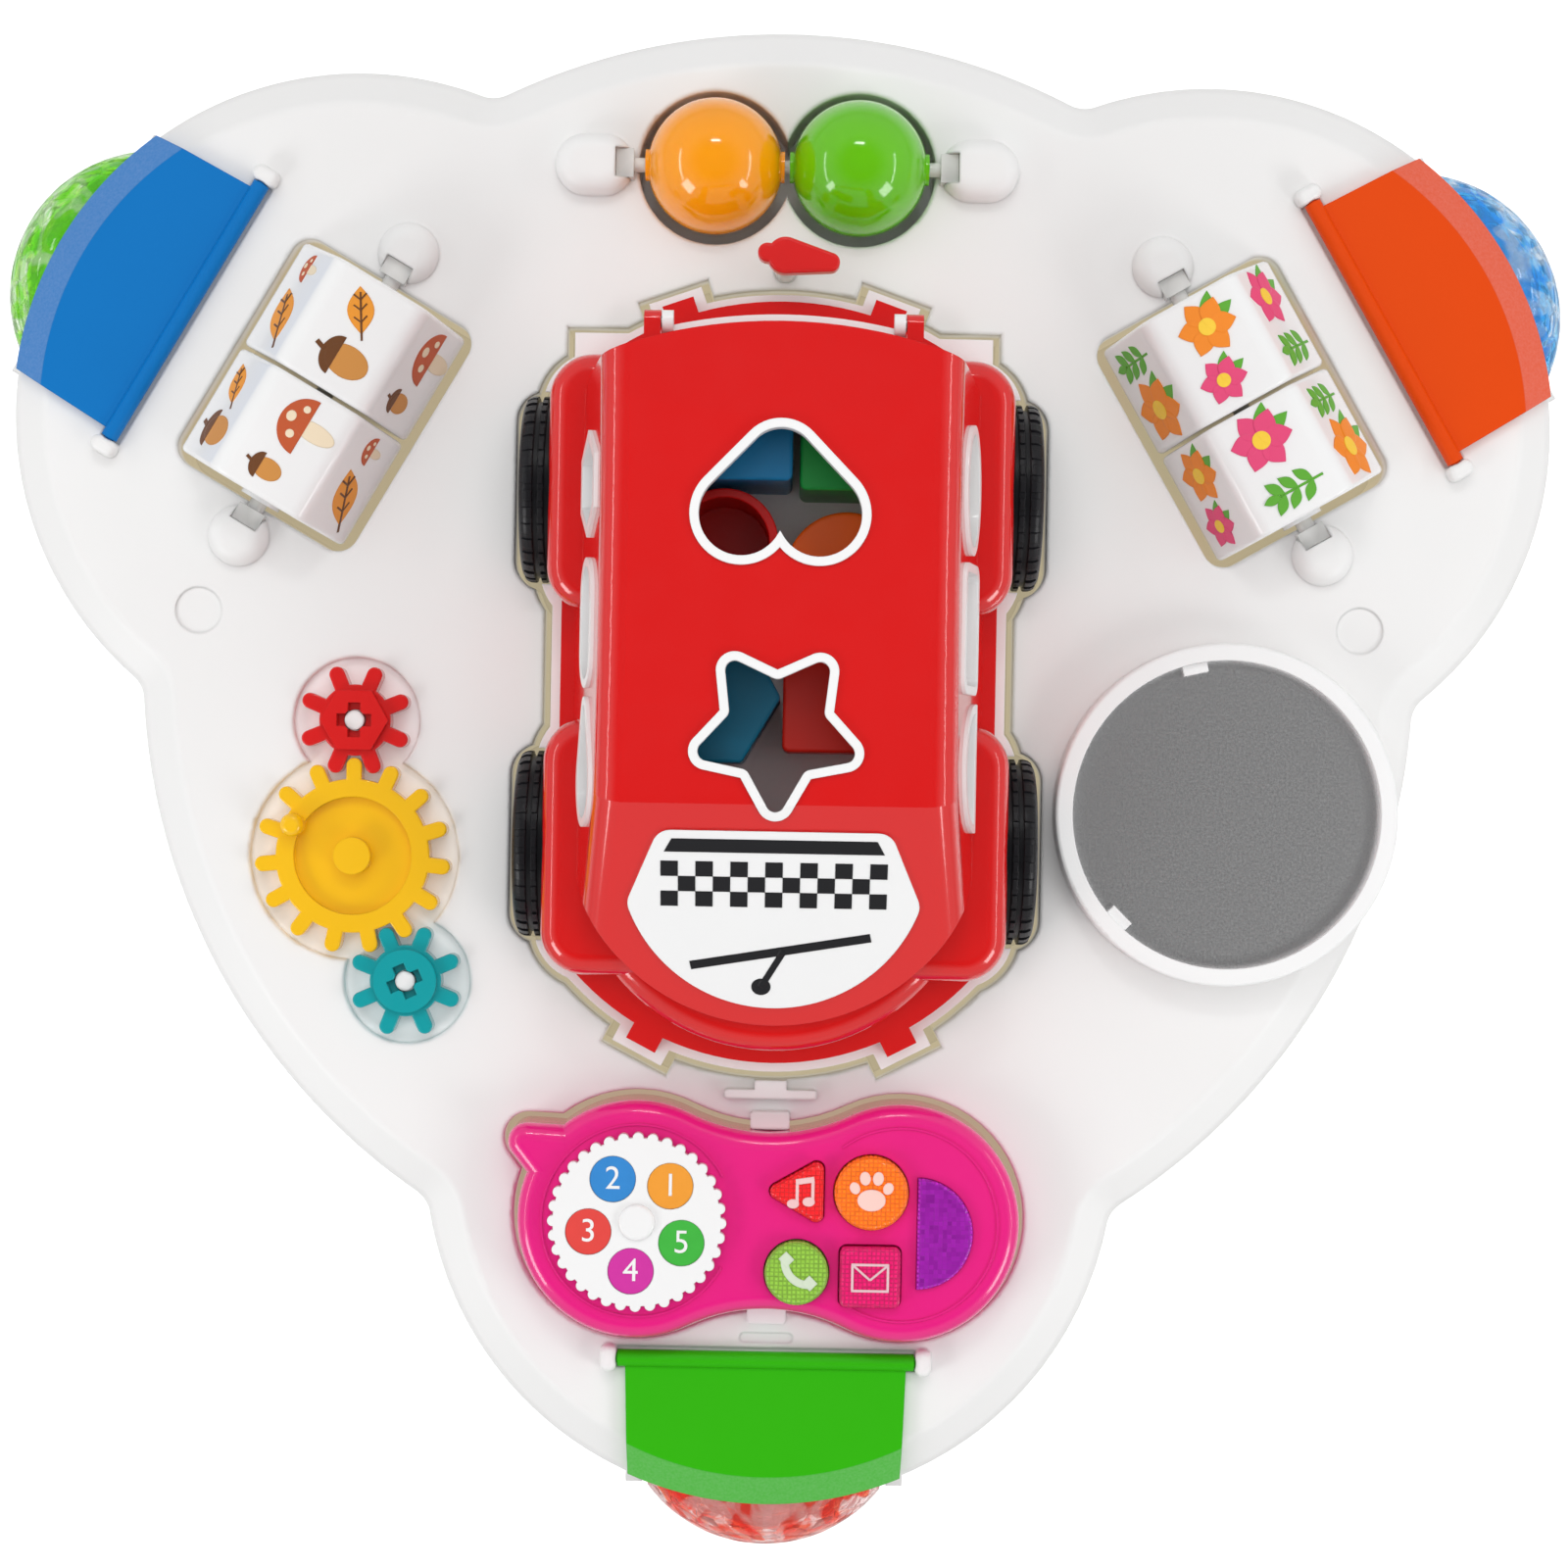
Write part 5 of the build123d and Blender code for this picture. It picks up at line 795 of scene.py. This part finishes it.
class LOOKS_OT_phone(bpy.types.Operator):
    """Finish the phone, number its dial, and raise the icons on its buttons and the beads on its front"""

    bl_idname = "looks.phone"
    bl_label = "Phone"

    def execute(self, context):
        paint, sizes = context.scene.looks_finish, context.scene.looks_print
        pink = plastic("phone pink", paint.pink, 0.2, 0.05, coat=0.8)
        dress(pink, "phone_front", "phone_back", "battery_door")
        dress(plastic("dial white", paint.white, 0.25, 0.02, coat=0.4), "phone_dial")
        dress(dial_print("dial ink", ((0.85, 0.33, 0.03), (0.03, 0.24, 0.62), (0.75, 0.06, 0.05),
                                      (0.62, 0.03, 0.35), (0.05, 0.45, 0.05))), "dial_inserts")
        tints = {"triangle": (0.80, 0.015, 0.02), "orange": (0.95, 0.17, 0.01), "green": (0.24, 0.46, 0.05),
                 "square": tuple(paint.magenta)}
        for kind, tint in tints.items():
            # The buttons and the lens get strong painted glints and painted shade on their prisms
            dress(clear(f"button {kind}", tint, 0.2, 820.0, 0.5 * MM, 0.06, 2.4), f"button_{kind}")
        dress(clear("lens purple", paint.purple, 0.2, 820.0, 0.5 * MM, 0.06, 3.0), "phone_lens")
        dress(metal("phone screw steel", paint.steel, 0.28, 1200.0), "phone_screws")
        dress(plastic("membrane grey", (0.32, 0.33, 0.35), 0.7, 0.1, 800.0), "button_membrane")
        dress(plastic("board green", (0.02, 0.20, 0.06), 0.4, 0.2, 2500.0), "phone_pcb")
        dress(plastic("speaker black", paint.black, 0.6, 0.2, 2000.0), "phone_speaker")
        dress(metal("cell can", (0.12, 0.14, 0.18), 0.3, 500.0), "phone_batteries")
        self.add_numerals(plastic("numeral white", paint.white, 0.3, 0.03), sizes)
        self.add_icons(tints, sizes)
        self.add_beads(pink)
        return {"FINISHED"}

    def add_numerals(self, material, sizes):
        """Numbers 1 to 5 on the dial's round windows."""
        centre = Vector(JOINTS["dial_spin"]["pos_m"])
        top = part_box("dial_inserts")[1].z
        bm = bmesh.new()
        for index in range(DIAL_COUNT):
            angle = math.radians(DIAL_FIRST_ANGLE + 360 * index / DIAL_COUNT)
            text = bpy.data.curves.new("numeral", "FONT")
            text.body = str(index + 1)
            text.size = sizes.numeral
            text.align_x = "CENTER"
            text.align_y = "CENTER"
            text.extrude = sizes.ink / 2
            holder = bpy.data.objects.new("numeral", text)
            bpy.context.scene.collection.objects.link(holder)
            bpy.context.view_layer.update()
            shaped = holder.evaluated_get(bpy.context.evaluated_depsgraph_get())
            mesh = bpy.data.meshes.new_from_object(shaped)
            mesh.transform(Matrix.Translation((centre.x + DIAL_RING * MM * math.cos(angle),
                                               centre.y + DIAL_RING * MM * math.sin(angle),
                                               top + sizes.ink / 4)))
            bm.from_mesh(mesh)
            bpy.data.objects.remove(holder)
            bpy.data.curves.remove(text)
            bpy.data.meshes.remove(mesh)
        new_piece("dial_numerals", bm, [material], "dial")

    def add_icons(self, tints, sizes):
        """A note, a paw print, a handset and an envelope, one on each button."""
        note = [bar(-1.9, -3.0, -1.9, 3.2, 0.9), bar(2.4, -2.4, 2.4, 3.8, 0.9), bar(-2.3, 2.9, 2.8, 3.7, 1.6),
                oval(-3.0, -3.1, 1.7, 1.3), oval(1.3, -2.5, 1.7, 1.3)]
        paw = [oval(0.0, -1.8, 3.9, 3.0), oval(-4.6, 1.5, 1.4, 1.7, 25), oval(-1.8, 4.2, 1.5, 1.9, 8),
               oval(1.8, 4.2, 1.5, 1.9, -8), oval(4.6, 1.5, 1.4, 1.7, -25)]
        handset = [band(3.2, 3.2, 6.5, 2.2, 175, 275), bar(-3.9, 2.6, -1.8, 4.7, 3.2),
                   bar(2.6, -3.9, 4.7, -1.8, 3.2)]
        envelope = [bar(-5.2, -3.6, 5.2, -3.6, 0.7), bar(-5.2, 3.6, 5.2, 3.6, 0.7),
                    bar(-4.9, -3.6, -4.9, 3.6, 0.7), bar(4.9, -3.6, 4.9, 3.6, 0.7),
                    bar(-4.6, 3.3, 0.0, -0.6, 0.6), bar(4.6, 3.3, 0.0, -0.6, 0.6)]
        icons = {"triangle": (note, 2.0), "orange": (paw, 0.0), "green": (handset, 0.0),
                 "square": (envelope, 0.0)}
        for kind, (shapes, shift) in icons.items():
            pale = [0.55 + 0.4 * value for value in tints[kind]]
            ink = plastic(f"icon {kind}", pale, 0.25, 0.1, coat=0.3)
            place = surface(box_middle(f"button_{kind}") + Vector((shift * MM, 0, 0)), (1, 0, 0), (0, 1, 0))
            bm = bmesh.new()
            for layer, outline in enumerate(shapes):
                raise_shape(bm, place, outline, -sizes.icon_rise, sizes.icon_rise + layer * INK_STEP * MM)
            new_piece(f"icon_{kind}", bm, [ink], f"{kind}_button")

    def add_beads(self, material):
        """Two thin raised beads that follow the phone's round ends."""
        middle = Vector(JOINTS["dial_spin"]["pos_m"])
        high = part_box("phone_front")[1]
        bm = bmesh.new()
        place = surface(Vector((0.0, middle.y, high.z)), (1, 0, 0), (0, 1, 0))
        for x, bead in ((middle.x / MM, DIAL_BEAD), (high.x / MM - LENS_BEAD_FROM_END, LENS_BEAD)):
            radius, start, end = bead
            outline = band(x, 0.0, radius, BEAD_WIDTH, start, end, BEAD_STEPS)
            raise_shape(bm, place, outline, BEAD_SINK * MM, BEAD_RISE * MM)
        new_piece("phone_beads", bm, [material], "phone")


class LOOKS_OT_car(bpy.types.Operator):
    """Finish the car and its blocks, print its windscreen and set the lugs of its wheels"""

    bl_idname = "looks.car"
    bl_label = "Car and Blocks"

    def execute(self, context):
        paint, sizes = context.scene.looks_finish, context.scene.looks_print
        dress(plastic("car red", paint.red, 0.16, 0.04, coat=1.0), "car_body")
        dress(plastic("car white", paint.white, 0.3, 0.03, coat=0.2), "car_chassis", "window_rims",
              "rear_hatch", "windscreen_panel")
        dress(metal("car screw steel", paint.steel, 0.28, 1200.0), "car_screws", "front_axle", "rear_axle")
        tyre = plastic("wheel black", paint.black, 0.34, 0.3, 1100.0, 0.03 * MM)
        dress(tyre, "front_wheels", "rear_wheels")
        blocks = {"cuboid": (0.01, 0.25, 0.55), "wedge": (0.02, 0.45, 0.08), "cup": tuple(paint.red),
                  "hexagon": (0.004, 0.16, 0.28), "square": (0.72, 0.02, 0.01), "disc": (0.85, 0.12, 0.005)}
        for name, colour in blocks.items():
            dress(plastic(f"block {name}", colour, 0.34, 0.08), f"block_{name}")
        self.add_screen_print(plastic("screen ink", paint.black, 0.35, 0.25, 2600.0), sizes)
        for pair in ("front", "rear"):
            self.add_lugs(pair, tyre, sizes)
        return {"FINISHED"}

    def add_screen_print(self, material, sizes):
        """A dark strip, a chequered band and one parked wiper on the windscreen, printed on its slope."""
        top = Vector((0.0, SCREEN_TOP[0] + TABLE_MIDDLE_Y, SCREEN_TOP[1] + TABLE_TOP)) * MM
        foot = Vector((0.0, SCREEN_FOOT[0] + TABLE_MIDDLE_Y, SCREEN_FOOT[1] + TABLE_TOP)) * MM
        place = surface(foot, (1, 0, 0), top - foot)
        bm = bmesh.new()
        shapes = [[(-29.0, 54.6), (29.0, 54.6), (27.0, 58.6), (-27.0, 58.6)]]
        square, rows, columns, band_foot = 4.6, 3, 13, 38.0
        for row in range(rows):
            for column in range(columns):
                if (row + column) % 2 == 0:
                    x = (column - columns / 2) * square
                    y = band_foot + row * square
                    shapes.append([(x, y), (x + square, y), (x + square, y + square), (x, y + square)])
        shapes += [oval(-3.0, 13.0, 2.6, 2.6), bar(-3.0, 13.0, 3.0, 24.5, 1.8),
                   bar(-22.0, 19.5, 26.0, 29.0, 2.6)]
        for layer, outline in enumerate(shapes):
            raise_shape(bm, place, outline, (SCREEN_SKIN - SCREEN_INK_SINK) * MM,
                        SCREEN_SKIN * MM + sizes.ink + (layer % 3) * INK_STEP * MM)
        new_piece("screen_print", bm, [material], "car")

    def add_lugs(self, pair, material, sizes):
        """Rows of lugs around both wheels of an axle."""
        centre = Vector(JOINTS[f"{pair}_wheels_spin"]["pos_m"])
        bm = bmesh.new()
        for side in (-1, 1):
            for row, stations in enumerate(LUG_ROWS):
                for lug in range(sizes.lugs):
                    start = 2 * math.pi * (lug + 0.5 * (row % 2)) / sizes.lugs
                    width = 2 * math.pi / sizes.lugs * LUG_SHARE
                    self.add_lug(bm, centre, side, stations, start, width, sizes.lug_rise)
        new_piece(f"{pair}_tread", bm, [material], f"{pair}_wheel_pair")

    def add_lug(self, bm, centre, side, stations, start, width, rise):
        """One lug: a strip across the tread that follows the rounding of the wheel's shoulder."""
        loops = []
        for along in stations:
            edge = min(along, WHEEL_WIDTH - along)
            drop = WHEEL_ROUND - math.sqrt(max(WHEEL_ROUND**2 - max(WHEEL_ROUND - edge, 0.0)**2, 0.0))
            radius = (WHEEL_RADIUS - drop) * MM
            x = centre.x + side * (WHEEL_OUTER - along) * MM
            loop = []
            for angle, reach in ((start, radius - rise), (start + width, radius - rise),
                                 (start + width, radius + rise), (start, radius + rise)):
                y, z = reach * math.cos(angle), reach * math.sin(angle)
                loop.append(bm.verts.new((x, centre.y + y, centre.z + z)))
            loops.append(loop)
        for low, high in zip(loops, loops[1:]):
            for i in range(4):
                j = (i + 1) % 4
                bm.faces.new((low[i], low[j], high[j], high[i]))
        bm.faces.new(loops[0][::-1])
        bm.faces.new(loops[-1])


class LOOKS_OT_studio(bpy.types.Operator):
    """Set the floor, the soft light and the camera that looks straight down"""

    bl_idname = "looks.studio"
    bl_label = "Studio"

    def execute(self, context):
        scene, studio = context.scene, context.scene.looks_studio
        scene.view_settings.view_transform = "Standard"
        self.add_floor(scene)
        self.add_sky(scene, studio)
        table = Vector((0.0, TABLE_MIDDLE_Y * MM, TABLE_TOP * MM))
        for name, away, size, power in LIGHTS:
            light = self.add_light(scene, name, table, Vector(away), size, getattr(studio, power))
            light.visible_glossy = name != "canopy"
        camera = bpy.data.objects.new("camera", bpy.data.cameras.new("camera"))
        scene.collection.objects.link(camera)
        camera.location = (PICTURE_MIDDLE[0] * MM, (TABLE_MIDDLE_Y + PICTURE_MIDDLE[1]) * MM,
                           TABLE_TOP * MM + studio.camera_height)
        camera.rotation_euler = (0.0, 0.0, studio.roll)
        camera.data.lens = camera.data.sensor_width * studio.camera_height / studio.frame_width
        camera.data.clip_start, camera.data.clip_end = 0.01, 20.0
        scene.camera = camera
        return {"FINISHED"}

    def add_floor(self, scene):
        """A pale, flat floor with a soft glow, most of which only the camera sees."""
        bm = bmesh.new()
        bmesh.ops.create_grid(bm, x_segments=2, y_segments=2, size=FLOOR_REACH)
        mesh = bpy.data.meshes.new("floor")
        bm.to_mesh(mesh)
        bm.free()
        floor = bpy.data.objects.new("floor", mesh)
        scene.collection.objects.link(floor)
        material, tree, shader = new_material("floor paper", PAPER)
        skin = effect(tree, "Moulded skin", Colour=opaque(PAPER), Clouding=0.02, Cloud_size=3.0,
                      Grain_size=400.0, Gloss=0.8)
        wear(tree, shader, skin)
        shader.inputs["Emission Color"].default_value = WHITE
        seen = add_node(tree, "ShaderNodeLightPath").outputs["Is Camera Ray"]
        glow = maths(tree, "MULTIPLY_ADD", seen, FLOOR_SEEN_GLOW, FLOOR_GLOW)
        tree.links.new(glow, shader.inputs["Emission Strength"])
        mesh.materials.append(material)

    def add_sky(self, scene, studio):
        """White light from all sides, weaker from straight above, as in a tent with an open top."""
        world = bpy.data.worlds.new("sky")
        world.use_nodes = True
        tree = world.node_tree
        background = tree.nodes["Background"]
        background.inputs["Color"].default_value = WHITE
        way = add_node(tree, "ShaderNodeTexCoord").outputs["Generated"]
        rise = add_node(tree, "ShaderNodeSeparateXYZ", Vector=way).outputs["Z"]
        fade = add_node(tree, "ShaderNodeMapRange", Value=rise, From_Min=math.cos(TENT_EDGE[0]),
                        From_Max=math.cos(TENT_EDGE[1]), To_Min=studio.sky, To_Max=studio.zenith)
        tree.links.new(fade.outputs["Result"], background.inputs["Strength"])
        scene.world = world

    def add_light(self, scene, name, target, away, size, power):
        """A rectangular light that looks at a target."""
        light = bpy.data.lights.new(name, "AREA")
        light.shape = "RECTANGLE"
        light.size, light.size_y = size
        light.energy = power
        holder = bpy.data.objects.new(name, light)
        scene.collection.objects.link(holder)
        holder.location = target + away
        holder.rotation_euler = (-away).to_track_quat("-Z", "Y").to_euler()
        return holder


class LOOKS_PT_sidebar(bpy.types.Panel):
    """Buttons for every group of pieces, and their settings"""

    bl_idname = "LOOKS_PT_sidebar"
    bl_label = "Activity Table"
    bl_space_type = "VIEW_3D"
    bl_region_type = "UI"
    bl_category = "Activity Table"

    def draw(self, context):
        for operator in OPERATORS:
            self.layout.operator(operator.bl_idname)
        for group in (context.scene.looks_finish, context.scene.looks_print, context.scene.looks_studio):
            for name in group.__annotations__:
                self.layout.prop(group, name)


SETTINGS = {"looks_finish": FinishSettings, "looks_print": PrintSettings, "looks_studio": StudioSettings}
OPERATORS = (LOOKS_OT_table, LOOKS_OT_corners, LOOKS_OT_barrels, LOOKS_OT_spinners, LOOKS_OT_mirror,
             LOOKS_OT_phone, LOOKS_OT_car, LOOKS_OT_studio)


def register():
    """Register the settings, the operators and the panel."""
    for name, group in SETTINGS.items():
        bpy.utils.register_class(group)
        setattr(bpy.types.Scene, name, PointerProperty(type=group))
    for item in OPERATORS + (LOOKS_PT_sidebar,):
        bpy.utils.register_class(item)


def unregister():
    """Take them away again."""
    for item in (LOOKS_PT_sidebar,) + OPERATORS[::-1]:
        bpy.utils.unregister_class(item)
    for name, group in SETTINGS.items():
        delattr(bpy.types.Scene, name)
        bpy.utils.unregister_class(group)


def main():
    """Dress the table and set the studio."""
    register()
    for operator in OPERATORS:
        group, name = operator.bl_idname.split(".")
        getattr(getattr(bpy.ops, group), name)()


if __name__ == "__main__":
    main()
